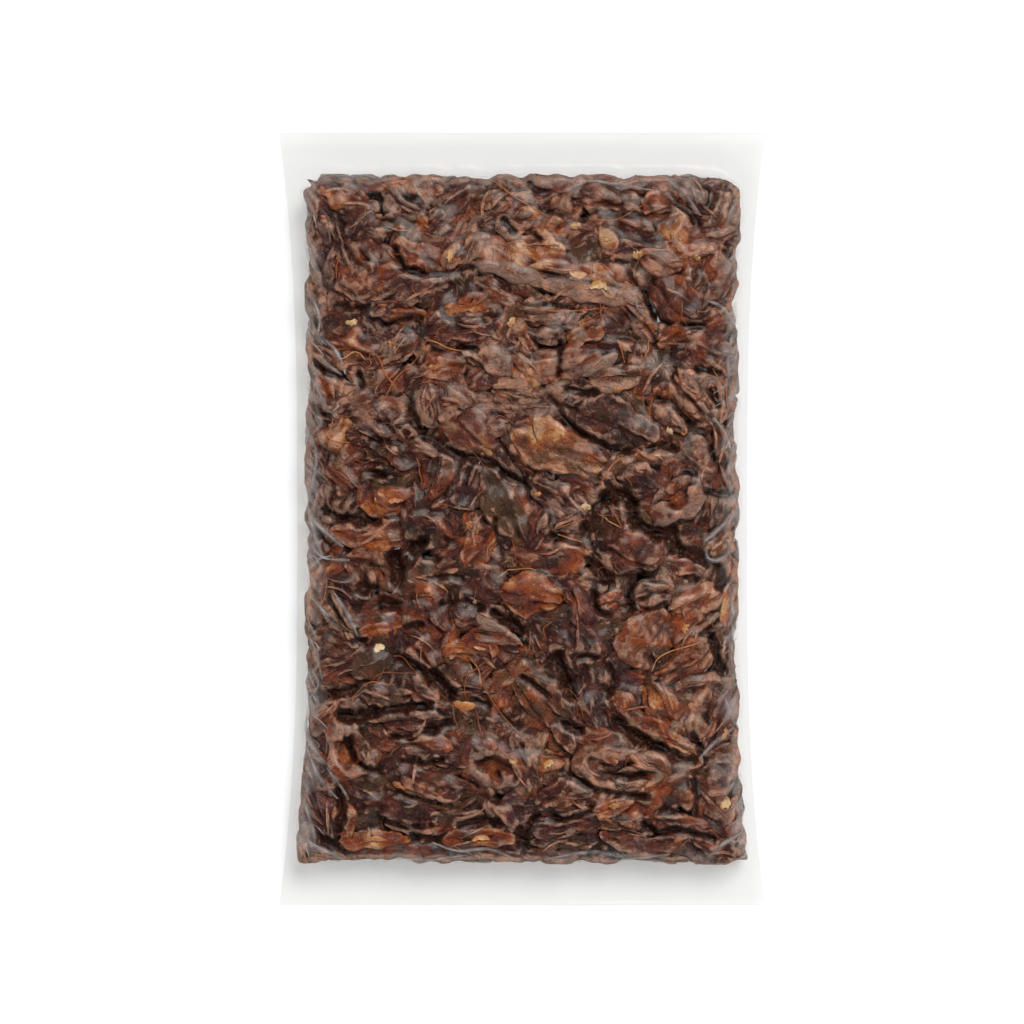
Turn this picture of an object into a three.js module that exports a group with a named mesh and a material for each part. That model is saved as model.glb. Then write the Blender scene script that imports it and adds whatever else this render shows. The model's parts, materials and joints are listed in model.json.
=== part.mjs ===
// Peeled tamarind pressed into one block inside a clear vacuum pouch, lying on its back.
//
// Millimetres. +X runs across the pouch, +Y along it and +Z up through its thickness.
// The origin is under the middle of the pouch, on the surface that it lies on.
// The pouch is two films sealed together round their edges. Each fruit mesh is a clump of two or
// three peeled fruits stuck together: a front layer, pressed under the front film, and a back layer.

import * as THREE from 'three';
import { mergeVertices } from 'three/addons/utils/BufferGeometryUtils.js';

// The pouch. It was made with straight sides, and the vacuum draws them in at the middle.
const POUCH_LENGTH = 254;
const POUCH_END_WIDTH = 160;
const POUCH_WAIST_WIDTH = 148;
const POUCH_CORNER_RADIUS = 1.5;
const WAIST_SHARPNESS = 3;
const FILM_THICKNESS = 0.15;

// The block of fruit, measured inside the films.
const BLOCK_WIDTH = 143;
const BLOCK_LENGTH = 225;
const BLOCK_CORNER_RADIUS = 9;
const SEAM_HEIGHT = 6;
const SEAM_GAP = 0.1;
const CROWN_HEIGHT = 14;
const CROWN_SQUARENESS = 4.5;
const BACK_EDGE_WIDTH = 12;
const BACK_EDGE_SQUARENESS = 2.5;

// How finely the films are faceted.
const CORNER_STEPS = 4;
const SIDE_STEPS = 10;
const END_STEPS = 6;
const CROWN_INSETS = [0, 0.4, 1.5, 4, 9, 20, 42];
const BACK_INSETS = [0, 0.8, 2.5, 6, 12];

// The fruit. Rows run across the pouch, and each number is how many clumps lie in that row.
const FRONT_ROWS = [4, 5, 4, 5, 4, 5, 4, 5];
const BACK_ROWS = [4, 3, 4, 4, 3, 4];
const FRONT_CLUMP = { halfLength: 25, halfWidth: 20, halfThickness: 9.5, middle: 13.2 };
const BACK_CLUMP = { halfLength: 30, halfWidth: 26, halfThickness: 8, middle: 4.2 };
const CLUMP_GAP = 0.3;
const CLUMP_DETAIL = 2;
const FLATNESS = 2.4;
const SHARPNESS = 16;
const PLACE_JITTER = 3;
const HEADING_JITTER = 0.7;
const SIZE_JITTER = 0.12;
const RANDOM_SEED = 41;

const filmMaterial = new THREE.MeshStandardMaterial({
  color: 0xf2f2f2, roughness: 0.12, metalness: 0, transparent: true, opacity: 0.25,
});
const PULP_COLOURS = [0x4a2a1f, 0x5d3a2c, 0x6e4433, 0x3c2018];

// A small seeded generator, so that the same fruit is laid every time.
function makeRandom(seed) {
  let state = seed;
  return () => {
    state = (state + 0x6d2b79f5) | 0;
    let mixed = Math.imul(state ^ (state >>> 15), 1 | state);
    mixed = (mixed + Math.imul(mixed ^ (mixed >>> 7), 61 | mixed)) ^ mixed;
    return ((mixed ^ (mixed >>> 14)) >>> 0) / 4294967296;
  };
}

// The outline of a rectangle with round corners, counterclockwise from its right end of the
// front edge. Every outline has the same number of points, so two of them can be joined.
function roundedOutline(halfWidth, halfLength, radius) {
  const corners = [[1, 1], [-1, 1], [-1, -1], [1, -1]];
  const points = [];
  corners.forEach(([sideX, sideY], quarter) => {
    const centre = new THREE.Vector2(sideX * (halfWidth - radius), sideY * (halfLength - radius));
    for (let step = 0; step <= CORNER_STEPS; step += 1) {
      const angle = (quarter + step / CORNER_STEPS) * Math.PI / 2;
      points.push(new THREE.Vector2(Math.cos(angle), Math.sin(angle)).multiplyScalar(radius).add(centre));
    }
    const last = points[points.length - 1];
    const [nextX, nextY] = corners[(quarter + 1) % 4];
    const nextAngle = (quarter + 1) * Math.PI / 2;
    const next = new THREE.Vector2(
      nextX * (halfWidth - radius) + radius * Math.cos(nextAngle),
      nextY * (halfLength - radius) + radius * Math.sin(nextAngle),
    );
    const steps = quarter % 2 === 0 ? END_STEPS : SIDE_STEPS;
    for (let step = 1; step < steps; step += 1) points.push(last.clone().lerp(next, step / steps));
  });
  return points;
}

// The block's outline at the seams, moved in by an inset.
function blockRing(inset) {
  const radius = Math.max(BLOCK_CORNER_RADIUS - inset, 1);
  return roundedOutline(BLOCK_WIDTH / 2 - inset, BLOCK_LENGTH / 2 - inset, radius);
}

// The pouch's own edge, which narrows from its ends to its waist.
function pouchRing() {
  const halfLength = POUCH_LENGTH / 2;
  const straightEnd = halfLength - POUCH_CORNER_RADIUS;
  const narrowing = 1 - POUCH_WAIST_WIDTH / POUCH_END_WIDTH;
  return roundedOutline(POUCH_END_WIDTH / 2, halfLength, POUCH_CORNER_RADIUS).map((point) => {
    const towardsWaist = Math.max(1 - Math.abs(point.y / straightEnd) ** WAIST_SHARPNESS, 0);
    return new THREE.Vector2(point.x * (1 - narrowing * towardsWaist), point.y);
  });
}

// Height above the seams of the front film's inner face: steep at the edge, nearly flat on top.
function crownHeight(inset) {
  const towardsEdge = 1 - inset / (BLOCK_WIDTH / 2);
  return CROWN_HEIGHT * (1 - towardsEdge ** CROWN_SQUARENESS) ** (1 / CROWN_SQUARENESS);
}

// Depth below the seams of the back film's inner face: it rounds down to a flat back.
function backDepth(inset) {
  const towardsEdge = Math.max(1 - inset / BACK_EDGE_WIDTH, 0);
  const depth = SEAM_HEIGHT - SEAM_GAP / 2 - FILM_THICKNESS;
  return depth * (1 - towardsEdge ** BACK_EDGE_SQUARENESS) ** (1 / BACK_EDGE_SQUARENESS);
}

// A film's section from the middle of the block outwards, as insets from the block's outline and
// heights, with the direction in which its outer face is offset. `up` is 1 in front, -1 behind.
function filmSection(insets, heightAt, up) {
  const seam = SEAM_HEIGHT + up * SEAM_GAP / 2;
  const section = insets.map((inset) => ({ inset, z: seam + up * heightAt(inset) })).reverse();
  return section.map((point, index) => {
    const inner = section[Math.max(index - 1, 0)];
    const outer = section[Math.min(index + 1, section.length - 1)];
    const along = new THREE.Vector2(inner.inset - outer.inset, outer.z - inner.z).normalize();
    const atSeam = index === section.length - 1;
    const normal = atSeam ? new THREE.Vector2(0.5, up) : new THREE.Vector2(-along.y, along.x).multiplyScalar(up);
    if (index === 0) normal.set(0, up);
    return { ...point, normal };
  });
}

// One face of a film: rings of points from the pouch's edge in to the middle, and a flat cap.
// `lift` is how far the face stands off the film's inner face.
function filmRings(section, up, lift) {
  const rings = section.map(({ inset, z, normal }) => (
    blockRing(inset - lift * normal.x).map(({ x, y }) => [x, y, z + lift * normal.y])
  ));
  const seam = SEAM_HEIGHT + up * (SEAM_GAP / 2 + lift);
  rings.push(pouchRing().map(({ x, y }) => [x, y, seam]));
  return rings;
}

// Joins a film's rings into a surface whose faces point away from the block when `outward`.
function stitchRings(rings, firstIndex, outward, triangles) {
  const count = rings[0].length;
  const add = (a, b, c) => triangles.push(...(outward ? [a, b, c] : [a, c, b]));
  const middle = firstIndex + rings.length * count;
  for (let side = 0; side < count; side += 1) {
    const next = (side + 1) % count;
    add(middle, firstIndex + side, firstIndex + next);
    for (let ring = 0; ring + 1 < rings.length; ring += 1) {
      const inner = firstIndex + ring * count;
      const outer = inner + count;
      add(inner + side, outer + side, outer + next);
      add(inner + side, outer + next, inner + next);
    }
  }
}

// A film as one thin closed solid: its inner face, its outer face, and the cut edge between them.
function filmGeometry(insets, heightAt, up) {
  const section = filmSection(insets, heightAt, up);
  const inner = filmRings(section, up, 0);
  const outer = filmRings(section, up, FILM_THICKNESS);
  const count = inner[0].length;
  const perFace = inner.length * count + 1;
  const positions = [inner, outer].flatMap((rings) => [...rings.flat(), [0, 0, rings[0][0][2]]]);
  const triangles = [];
  stitchRings(outer, perFace, up > 0, triangles);
  stitchRings(inner, 0, up < 0, triangles);
  const innerEdge = (inner.length - 1) * count;
  const outerEdge = perFace + innerEdge;
  for (let side = 0; side < count; side += 1) {
    const next = (side + 1) % count;
    const quad = [innerEdge + side, innerEdge + next, outerEdge + next, outerEdge + side];
    const [a, b, c, d] = up > 0 ? quad : quad.reverse();
    triangles.push(a, b, c, a, c, d);
  }
  const geometry = new THREE.BufferGeometry();
  geometry.setAttribute('position', new THREE.Float32BufferAttribute(positions.flat(), 3));
  geometry.setIndex(triangles);
  return { geometry, innerFace: innerFacePlanes(positions, inner.length - 1, count, up) };
}

// Clumps are worked out in a space stretched along Z, where a flat fruit is as round as it is in
// plan. Planes there hold points p where normal.p = offset, with the block on the lower side.
function stretched([x, y, z]) {
  return new THREE.Vector3(x, y, z * FLATNESS);
}

// How far apart, in the stretched space, two parallel planes are that are `gap` apart in the real one.
function stretchedGap(normal, gap) {
  return gap * Math.hypot(normal.x, normal.y, normal.z * FLATNESS);
}

// The planes of a film's inner facets over the block, which no clump may cross.
function innerFacePlanes(positions, ringCount, count, up) {
  const middle = positions[(ringCount + 1) * count];
  const facets = [[middle, positions[0], positions[Math.floor(count / 3)]]];
  for (let ring = 0; ring + 1 < ringCount; ring += 1) {
    for (let side = 0; side < count; side += 1) {
      const next = (side + 1) % count;
      const [a, b] = [ring * count + side, ring * count + next];
      const [c, d] = [a + count, b + count];
      facets.push([positions[a], positions[c], positions[d]], [positions[a], positions[d], positions[b]]);
    }
  }
  return facets.map((corners) => {
    const [a, b, c] = corners.map(stretched);
    const normal = b.clone().sub(a).cross(c.clone().sub(a)).multiplyScalar(up).normalize();
    return { normal, offset: normal.dot(a) - stretchedGap(normal, CLUMP_GAP) };
  });
}

// Lays one layer of clumps in rows across the block, each a little out of place and turned.
function layClumps(rows, clump, name, random) {
  const jitter = (amount) => (2 * random() - 1) * amount;
  const rowPitch = BLOCK_LENGTH / rows.length;
  return rows.flatMap((count, row) => Array.from({ length: count }, (_, column) => {
    const pitch = BLOCK_WIDTH / count;
    const size = 1 + jitter(SIZE_JITTER);
    return {
      centre: stretched([
        (column + 0.5) * pitch - BLOCK_WIDTH / 2 + jitter(PLACE_JITTER),
        BLOCK_LENGTH / 2 - (row + 0.5) * rowPitch + jitter(PLACE_JITTER),
        clump.middle,
      ]),
      heading: jitter(HEADING_JITTER),
      halfAxes: new THREE.Vector3(clump.halfLength, clump.halfWidth, clump.halfThickness * FLATNESS)
        .multiplyScalar(size),
      name,
    };
  })).map((laid, index) => ({ ...laid, name: `${laid.name}_${String(index + 1).padStart(2, '0')}` }));
}

// How far it is from a clump's centre to a plane, along a direction that leads towards it.
function distanceTo({ normal, offset }, centre, direction) {
  const towards = normal.dot(direction);
  return towards > 0 ? (offset - normal.dot(centre)) / towards : Infinity;
}

// How far a clump would reach along a direction if nothing pressed on it.
function freeReach({ heading, halfAxes }, direction) {
  const across = direction.clone().applyAxisAngle(new THREE.Vector3(0, 0, 1), -heading);
  return 1 / across.divide(halfAxes).length();
}

// The plane where two neighbours press flat against each other, nearer the smaller one.
function pressedPlane(clump, neighbour) {
  const between = neighbour.centre.clone().sub(clump.centre);
  const normal = between.clone().normalize();
  const share = freeReach(clump, normal) / (freeReach(clump, normal) + freeReach(neighbour, normal));
  const offset = normal.dot(clump.centre) + share * between.length();
  return { normal, offset: offset - stretchedGap(normal, CLUMP_GAP / 2) };
}

// A clump of fruit: a rounded lump, flattened wherever a neighbour or a film presses on it. Each
// point stays on the clump's side of every plane, so no two clumps can overlap.
function clumpGeometry(clump, neighbours, filmPlanes) {
  const sides = neighbours.map((neighbour) => pressedPlane(clump, neighbour));
  const ball = new THREE.IcosahedronGeometry(1, CLUMP_DETAIL);
  ball.deleteAttribute('normal');
  ball.deleteAttribute('uv');
  const geometry = mergeVertices(ball);
  const position = geometry.getAttribute('position');
  for (let index = 0; index < position.count; index += 1) {
    const direction = new THREE.Vector3().fromBufferAttribute(position, index).normalize();
    const reaches = [
      freeReach(clump, direction),
      Math.min(...filmPlanes.map((plane) => distanceTo(plane, clump.centre, direction))),
      ...sides.map((plane) => distanceTo(plane, clump.centre, direction)),
    ];
    const reach = reaches.reduce((sum, each) => sum + each ** -SHARPNESS, 0) ** (-1 / SHARPNESS);
    const point = direction.multiplyScalar(reach).add(clump.centre);
    position.setXYZ(index, point.x, point.y, point.z / FLATNESS);
  }
  return geometry;
}

function mesh(name, geometry, material) {
  const made = new THREE.Mesh(geometry, material);
  made.name = name;
  return made;
}

const pouchOfTamarind = new THREE.Group();
const frontFilm = filmGeometry(CROWN_INSETS, crownHeight, 1);
const backFilm = filmGeometry(BACK_INSETS, backDepth, -1);
pouchOfTamarind.add(mesh('front_film', frontFilm.geometry, filmMaterial));
pouchOfTamarind.add(mesh('back_film', backFilm.geometry, filmMaterial));

const random = makeRandom(RANDOM_SEED);
const clumps = [
  ...layClumps(FRONT_ROWS, FRONT_CLUMP, 'front_fruit', random),
  ...layClumps(BACK_ROWS, BACK_CLUMP, 'back_fruit', random),
];
const filmPlanes = [...frontFilm.innerFace, ...backFilm.innerFace];
clumps.forEach((clump, index) => {
  const neighbours = clumps.filter((other) => other !== clump);
  const material = new THREE.MeshStandardMaterial({
    color: PULP_COLOURS[index % PULP_COLOURS.length], roughness: 0.4, metalness: 0,
  });
  pouchOfTamarind.add(mesh(clump.name, clumpGeometry(clump, neighbours, filmPlanes), material));
});

export default pouchOfTamarind;
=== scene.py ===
# %% [markdown]
# # Peeled tamarind in a clear vacuum pouch
# The object is a flat pack of peeled tamarind. Nearly two hundred sticky fruits were put in a clear
# pouch, the air was drawn out, and the two films clung to the fruit and pressed it into one block.
# This lesson lays each fruit, presses the layers together, and then lets two films cling to them.

# %% Load the frame
import json
from collections import namedtuple
from itertools import product
from math import cos, pi, radians, sin

import bpy
import numpy as np
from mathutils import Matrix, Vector

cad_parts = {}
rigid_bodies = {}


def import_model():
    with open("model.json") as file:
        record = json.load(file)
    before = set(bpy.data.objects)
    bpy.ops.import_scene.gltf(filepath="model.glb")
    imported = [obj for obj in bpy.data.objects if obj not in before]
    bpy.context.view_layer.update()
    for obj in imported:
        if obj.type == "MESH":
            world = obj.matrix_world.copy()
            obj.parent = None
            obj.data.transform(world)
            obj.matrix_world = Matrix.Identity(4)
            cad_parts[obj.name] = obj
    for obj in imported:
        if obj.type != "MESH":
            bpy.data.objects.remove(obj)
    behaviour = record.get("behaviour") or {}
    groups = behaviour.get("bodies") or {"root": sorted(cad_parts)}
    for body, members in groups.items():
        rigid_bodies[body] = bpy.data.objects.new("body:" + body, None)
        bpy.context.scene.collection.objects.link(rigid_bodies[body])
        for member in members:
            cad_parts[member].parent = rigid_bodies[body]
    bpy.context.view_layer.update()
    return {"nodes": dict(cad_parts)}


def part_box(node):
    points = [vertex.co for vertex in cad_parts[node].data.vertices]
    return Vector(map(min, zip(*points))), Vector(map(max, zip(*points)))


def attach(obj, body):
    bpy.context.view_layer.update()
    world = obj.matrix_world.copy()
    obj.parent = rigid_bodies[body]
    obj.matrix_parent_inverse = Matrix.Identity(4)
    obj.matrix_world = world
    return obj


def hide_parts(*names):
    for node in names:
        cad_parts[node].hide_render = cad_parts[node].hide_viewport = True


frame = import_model()

# %% [markdown]
# Everything below is worked out in millimetres, which suit a fruit, and is turned into metres when a
# mesh is made. The pouch's box and the block's box come from the packed solids.

# %% Sizes from the frame
MM = 0.001
FRONT_NODES = sorted(name for name in frame["nodes"] if name.startswith("front_fruit"))
BACK_NODES = sorted(name for name in frame["nodes"] if name.startswith("back_fruit"))


def box_mm(name):
    low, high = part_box(name)
    return np.array(low) / MM, np.array(high) / MM


pouch_low, pouch_high = box_mm("front_film")
block_high = np.max([box_mm(name)[1] for name in FRONT_NODES + BACK_NODES], axis=0)
FRUIT_SWELL = 0.6
FILM_ROOM = 0.4
SEAM = pouch_low[2]
HALF_POUCH = pouch_high[:2]
HALF_BLOCK = block_high[:2] + FRUIT_SWELL
CROWN = pouch_high[2] - SEAM - FILM_ROOM
print("pouch", pouch_high[:2] * 2, "block", HALF_BLOCK * 2, "seam at", SEAM)

# %% [markdown]
# The films limit how high and how low the fruit can lie. The crown is steep at the block's edge and
# nearly flat on top, and the back rounds down to a flat rest. Low hills in the crown come from the
# fruit itself: no packed block is quite level.

# %% The room between the films
CROWN_SQUARENESS = 4.5
BACK_SQUARENESS = 2.5
BACK_EDGE = 10.0
BACK_REST = 0.45
SIDE_INSET = 0.9
FLARE_START, FLARE_LENGTH = 60, 50
FOOT_FLARE, HEAD_FLARE = 3.6, 0.9
FOOT_CORNER, HEAD_CORNER = 4.0, 8.0


def half_block(y):
    """Half the block's width. The block flares a little towards its two ends."""
    foot = np.clip((-y - FLARE_START) / FLARE_LENGTH, 0, 1) ** 2
    head = np.clip((y - FLARE_START) / FLARE_LENGTH, 0, 1) ** 2
    return HALF_BLOCK[0] - SIDE_INSET + FOOT_FLARE * foot + HEAD_FLARE * head


def inside_distance(x, y, grow=0.0):
    """How far inside the block's outline a place is. `grow` widens the outline."""
    corner = np.where(y > 0, HEAD_CORNER, FOOT_CORNER)
    away_x = np.abs(x) - (half_block(y) + grow - corner)
    away_y = np.abs(y) - (HALF_BLOCK[1] + grow - corner)
    outside = np.hypot(np.maximum(away_x, 0), np.maximum(away_y, 0))
    return corner - outside - np.minimum(np.maximum(away_x, away_y), 0)


def rise(share, squareness):
    """A rise from 0 to 1 that is steep at first and flat at the end."""
    return (1 - (1 - share) ** squareness) ** (1 / squareness)


def crown_height(x, y, grow=0.0):
    share = np.clip(inside_distance(x, y, grow) / HALF_BLOCK[0], 0, 1)
    return SEAM + CROWN * rise(share, CROWN_SQUARENESS)


def back_height(x, y, grow=0.0):
    share = np.clip(inside_distance(x, y, grow) / BACK_EDGE, 0, 1)
    return SEAM - (SEAM - BACK_REST) * rise(share, BACK_SQUARENESS)


print("crown at the middle:", crown_height(0.0, 0.0), "back:", back_height(0.0, 0.0))

# %% [markdown]
# Wrinkles, colour patches and crumpled films all need smooth randomness. Blender's own noise is
# slow from Python, so this is gradient noise for whole arrays of points, from a seeded table.

# %% Smooth noise for arrays of points
noise_random = np.random.default_rng(11)
NOISE_SLOPES = noise_random.normal(size=(256, 3))
NOISE_SLOPES /= np.linalg.norm(NOISE_SLOPES, axis=1)[:, None]
NOISE_ORDER = np.tile(noise_random.permutation(256), 3)


def noise(points):
    """Gradient noise: each corner of a point's cell pulls with its own slope, and they are blended."""
    cell = np.floor(points).astype(int)
    part = points - cell
    cell &= 255
    ease = part * part * part * (part * (part * 6 - 15) + 10)
    total = np.zeros(len(points))
    for corner in np.ndindex(2, 2, 2):
        step = np.array(corner)
        a, b, c = ((cell + step) & 255).T
        slope = NOISE_SLOPES[NOISE_ORDER[NOISE_ORDER[NOISE_ORDER[a] + b] + c]]
        weight = np.abs(1 - step - ease).prod(axis=1)
        total += weight * ((part - step) * slope).sum(axis=1)
    return total


def noise_at(x, y, z, scale, shift=0.0):
    """Noise at x, y, z with waves of about `scale`. Another `shift` gives another pattern."""
    points = np.stack(np.broadcast_arrays(x, y, z), axis=-1).reshape(-1, 3) / scale + shift
    return noise(points).reshape(np.shape(x))


print("noise slopes:", len(NOISE_SLOPES))

# %% [markdown]
# A height map is the plainest tool for a block that is looked at from above. It is a grid of heights
# a fraction of a millimetre apart, that can be read at any point and blurred.

# %% Grids that cover the pouch
MAP_STEP = 0.6
map_x = np.arange(-HALF_POUCH[0], HALF_POUCH[0] + MAP_STEP / 2, MAP_STEP)
map_y = np.arange(-HALF_POUCH[1], HALF_POUCH[1] + MAP_STEP / 2, MAP_STEP)


def blur(field, radius):
    """The map with each height shared out over about `radius` round it."""
    reach = int(3 * radius / MAP_STEP) + 1
    offsets = np.arange(-reach, reach + 1)
    weights = np.exp(-((offsets * MAP_STEP / radius) ** 2) / 2)
    weights /= weights.sum()
    for axis in (0, 1):
        wider = [(reach, reach) if a == axis else (0, 0) for a in (0, 1)]
        padded = np.pad(field, wider, mode="edge")
        here = np.arange(field.shape[axis])
        field = sum(np.take(padded, here + k, axis=axis) * w for k, w in enumerate(weights))
    return field


def read_map(field, x, y):
    """The heights between the points of a map, read where x and y say."""
    column = np.clip((x - map_x[0]) / MAP_STEP, 0, len(map_x) - 1.001)
    row = np.clip((y - map_y[0]) / MAP_STEP, 0, len(map_y) - 1.001)
    i, j = column.astype(int), row.astype(int)
    u, v = column - i, row - j
    near = field[i, j] * (1 - u) + field[i + 1, j] * u
    far = field[i, j + 1] * (1 - u) + field[i + 1, j + 1] * u
    return near * (1 - v) + far * v


print("map:", len(map_x), "by", len(map_y), "heights")

# %% [markdown]
# Crevices, strings and creases are all laid as routes: a few corners, listed in a table, that a
# smooth curve passes through. A Catmull-Rom curve is used because it goes through every corner.

# %% Tables and routes


def table(text):
    """The entries of a table, which stand on lines or between bars."""
    return [entry for entry in text.replace("\n", "|").split("|") if entry.strip()]


def read_corners(text):
    """Corners between commas, each an x and a y."""
    return np.array([[float(value) for value in pair.split()] for pair in text.split(",")])


def read_routes(text):
    """Routes that each have a size before them."""
    routes = [entry.split(":") for entry in table(text)]
    return [(float(size), read_corners(corners)) for size, corners in routes]


def smooth_route(corners, step=0.8):
    """A Catmull-Rom curve through the corners."""
    ends = [2 * corners[0] - corners[1], *corners, 2 * corners[-1] - corners[-2]]
    route = []
    for before, start, finish, after in zip(ends, ends[1:], ends[2:], ends[3:]):
        count = max(2, int(np.linalg.norm(finish - start) / step))
        for t in np.linspace(0, 1, count, endpoint=False):
            straight = 2 * start + (finish - before) * t
            curved = (2 * before - 5 * start + 4 * finish - after) * t ** 2
            turned_back = (3 * start - before - 3 * finish + after) * t ** 3
            route.append((straight + curved + turned_back) / 2)
    return np.array([*route, corners[-1]])


print("a route's points:", len(smooth_route(read_corners("0 0, 4 1, 8 0"))))

# %% [markdown]
# Fruits don't fill a pouch like bricks. Dark crevices run between them, and they are what the eye
# reads first. The main ones are listed as grooves that no fruit may rise into.

# %% Crevices
CREVICES = """
1.5: -36.5 39, -35.5 33.5, -33 28.5, -28.5 25, -23.5 22, -18 20.2, -11 18.8, -5.5 14.8, 0 12
0.8: 12.5 57.5, 12.2 52, 11.8 46.5
1.3: 8.5 40, 11.5 37, 14 32.5, 17.5 29, 24 25.5, 29.5 22.8, 35 22 | 1.3: 14.5 42.5, 20 41, 24 41.5
1.3: 41 22.5, 45 24, 49.5 23 | 1.1: 44 39.5, 49 37.5, 52 34, 55 30
1.1: 57 48.5, 60 48.8, 64.5 47.3 | 1.0: 61 42, 64 37 | 1.1: 61 23, 62.5 19.5 | 1.2: 60 9, 68 8
1.0: 51 16, 56 14.5 | 2.2: 27 7, 33 8, 37 2 | 1.4: 28 11.5, 30.5 6 | 1.0: 1 13, 2.5 10
1.2: -61 69.5, -56 69, -50.5 68.5 | 1.1: -46 62, -41 64.5, -33 65.2
1.1: -41.5 88, -39.5 84, -37 81, -30 79.5 | 0.9: -30 79.5, -24 80, -17 82, -13.5 79
1.1: -38 105, -34 104.5 | 1.0: -68.5 66, -66 61.5 | 1.2: -6 97, -3 93.5 | 1.0: -50 106, -46 104
1.1: 6 100.5, 10.5 99.8, 20 97.5 | 0.9: 3 94, 6 91 | 1.2: 50.5 102.5, 54 100.5, 57.5 95
0.9: 30.5 84, 35.5 82.8 | 1.0: 65.5 87.5, 67 86 | 1.2: 40 74, 41.5 69, 44 65, 48 63.5
0.8: 7 69.8, 12 69.3, 18 68 | 1.0: 52 63.5, 59 62.5 | 1.0: 32 59, 38 57.5
1.2: -67.5 51, -63 47.5, -58.5 46.3 | 1.1: -66 33.8, -62 34.5 | 1.0: -53 48, -52 43
1.0: -49 26, -39 24.5 | 1.2: -50 15.2, -45 14.4 | 0.9: -20 56, -15 55 | 1.2: -9.8 34.4, -5.5 33.4
1.2: -64.3 2.8, -61.3 1.5 | 1.4: -60 0.2, -54 -0.6, -47 -1 | 2.4: -34.5 -9.5, -32.6 -7.6
1.9: -31 -11.5, -27.5 -12.8 | 2.8: -41.5 -13, -40.4 -16.5, -40.6 -19.5
2.2: -51.5 -22.5, -47.5 -22.5 | 2.0: -45 -27, -40.5 -28.5 | 0.9: -24.5 -6.5, -21.5 -7.5
1.0: -19.4 -4.4, -19.2 -5.4 | 0.8: -50.5 -14.6, -44 -15.5 | 1.5: -67 -4.5, -62.5 -8.5
1.1: -31 -19.5, -24 -18.6, -19 -19.6 | 1.2: -26 -27.6, -19 -26.6, -13.5 -28.6
1.8: -9 -30.6, -4 -33.4, 0 -36 | 1.2: -38 -35, -33 -34.2 | 1.5: -40 -45, -35 -47.2, -31.5 -49.6
2.6: -30 -51, -26.6 -53, -23.6 -57 | 1.8: -68 -58.4, -60 -56.6, -53.5 -55.2
1.1: -55 -39.8, -51 -39.4 | 0.7: -9 0, -7.4 -9, -4.4 -18.6 | 1.3: 9.5 -5.2, 13 -6
1.9: 20.3 -2.6, 20.8 -4.6 | 1.3: 23.5 -3, 25.5 -4.2 | 1.9: 35 1, 39 -2.5, 45 -5, 49.4 -3.6
1.9: 49.5 -5.5, 50.5 -9.5, 56 -11.2, 60 -13.6 | 1.5: 63 -15, 65 -17.4, 64.2 -22
2.0: 22 -13.4, 25.5 -17.2, 28.5 -20 | 1.1: 28 -17.5, 32 -19.2, 37 -18.6, 42 -18, 45 -16
1.5: 36 -19.8, 34.4 -24, 35.4 -29.6 | 1.4: 23 -24.5, 24.4 -29.4, 28.4 -31.2
0.8: 40 -29.5, 43 -28.9, 46.4 -27.4 | 1.1: 17.4 -44.8, 20.5 -44.3 | 1.1: 22.5 -44.8, 25.6 -45
2.2: 9 -47, 11.5 -44.4 | 2.0: 11.5 -44.4, 13.6 -49.6, 16 -57 | 0.9: 42 -45, 43.6 -47
1.4: 61 -36, 62.5 -41, 64 -47, 66 -50 | 1.3: 28.4 -48, 29.8 -53, 28 -57
0.8: 0 -51, 4 -54, 8.4 -57.6 | 2.3: -59 -64, -53 -64, -48 -62.8
1.3: -48 -62.8, -42 -61.6, -36 -61, -30 -60.3 | 1.0: -43 -70.6, -36 -71
1.9: -31 -69, -27.4 -67.8, -24 -66.4 | 0.8: -40 -78.5, -33 -79, -26 -78.5
0.8: -44 -88.5, -38 -89.6, -30 -92, -23 -93 | 1.7: -60 -89, -58.5 -95, -60 -101
1.0: -45 -98, -38 -100, -30 -99.6 | 1.5: -35.5 -103.4, -27.5 -104.6
1.7: -20 -99.6, -13 -98.2, -8 -98.8 | 2.1: -66 -104.4, -61.5 -106.4 | 1.4: -1 -101, -0.6 -106.5
1.1: -16 -58.4, -10.6 -60.4 | 0.7: -8 -62, -4 -66, 0 -70.4 | 0.8: 0 -73.5, 4 -75, 9 -77, 14 -77.6
1.6: 14.5 -66.4, 18.8 -68.6 | 2.1: 31 -66, 35 -69.4, 40 -72.4, 46 -74.6
1.7: 46 -74.6, 50 -77.4, 55.5 -78.6 | 1.2: 55.5 -70, 57.4 -74, 58 -77 | 1.2: 59.6 -64, 60.8 -66
1.0: 13 -82, 16.4 -83.6, 22 -87, 28 -88.8, 33 -89.8, 40 -90.2 | 1.3: 25.5 -82.4, 31 -83.2, 39 -82.8
0.9: 9 -97.4, 15 -97.2, 21 -95.6, 23.4 -92.6 | 1.4: 4 -97, 1.4 -103, 0.4 -108
1.1: 56 -85, 57 -90.4 | 1.0: 70 -85, 69.2 -88.4
1.3: 40 -99.4, 45 -102, 51 -101.4, 58 -102.8, 62.4 -104.2 | 1.2: 24 -107.6, 27.4 -109, 32 -110.6
0.8: 45 -94.6, 54 -95.6 | 1.2: -57 -72, -54.6 -78 | 1.1: -52 -80.6, -46 -82.2
1.3: -13.4 -89.4, -8.4 -91.4
"""
crevice_map = np.zeros((len(map_x), len(map_y)))


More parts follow.
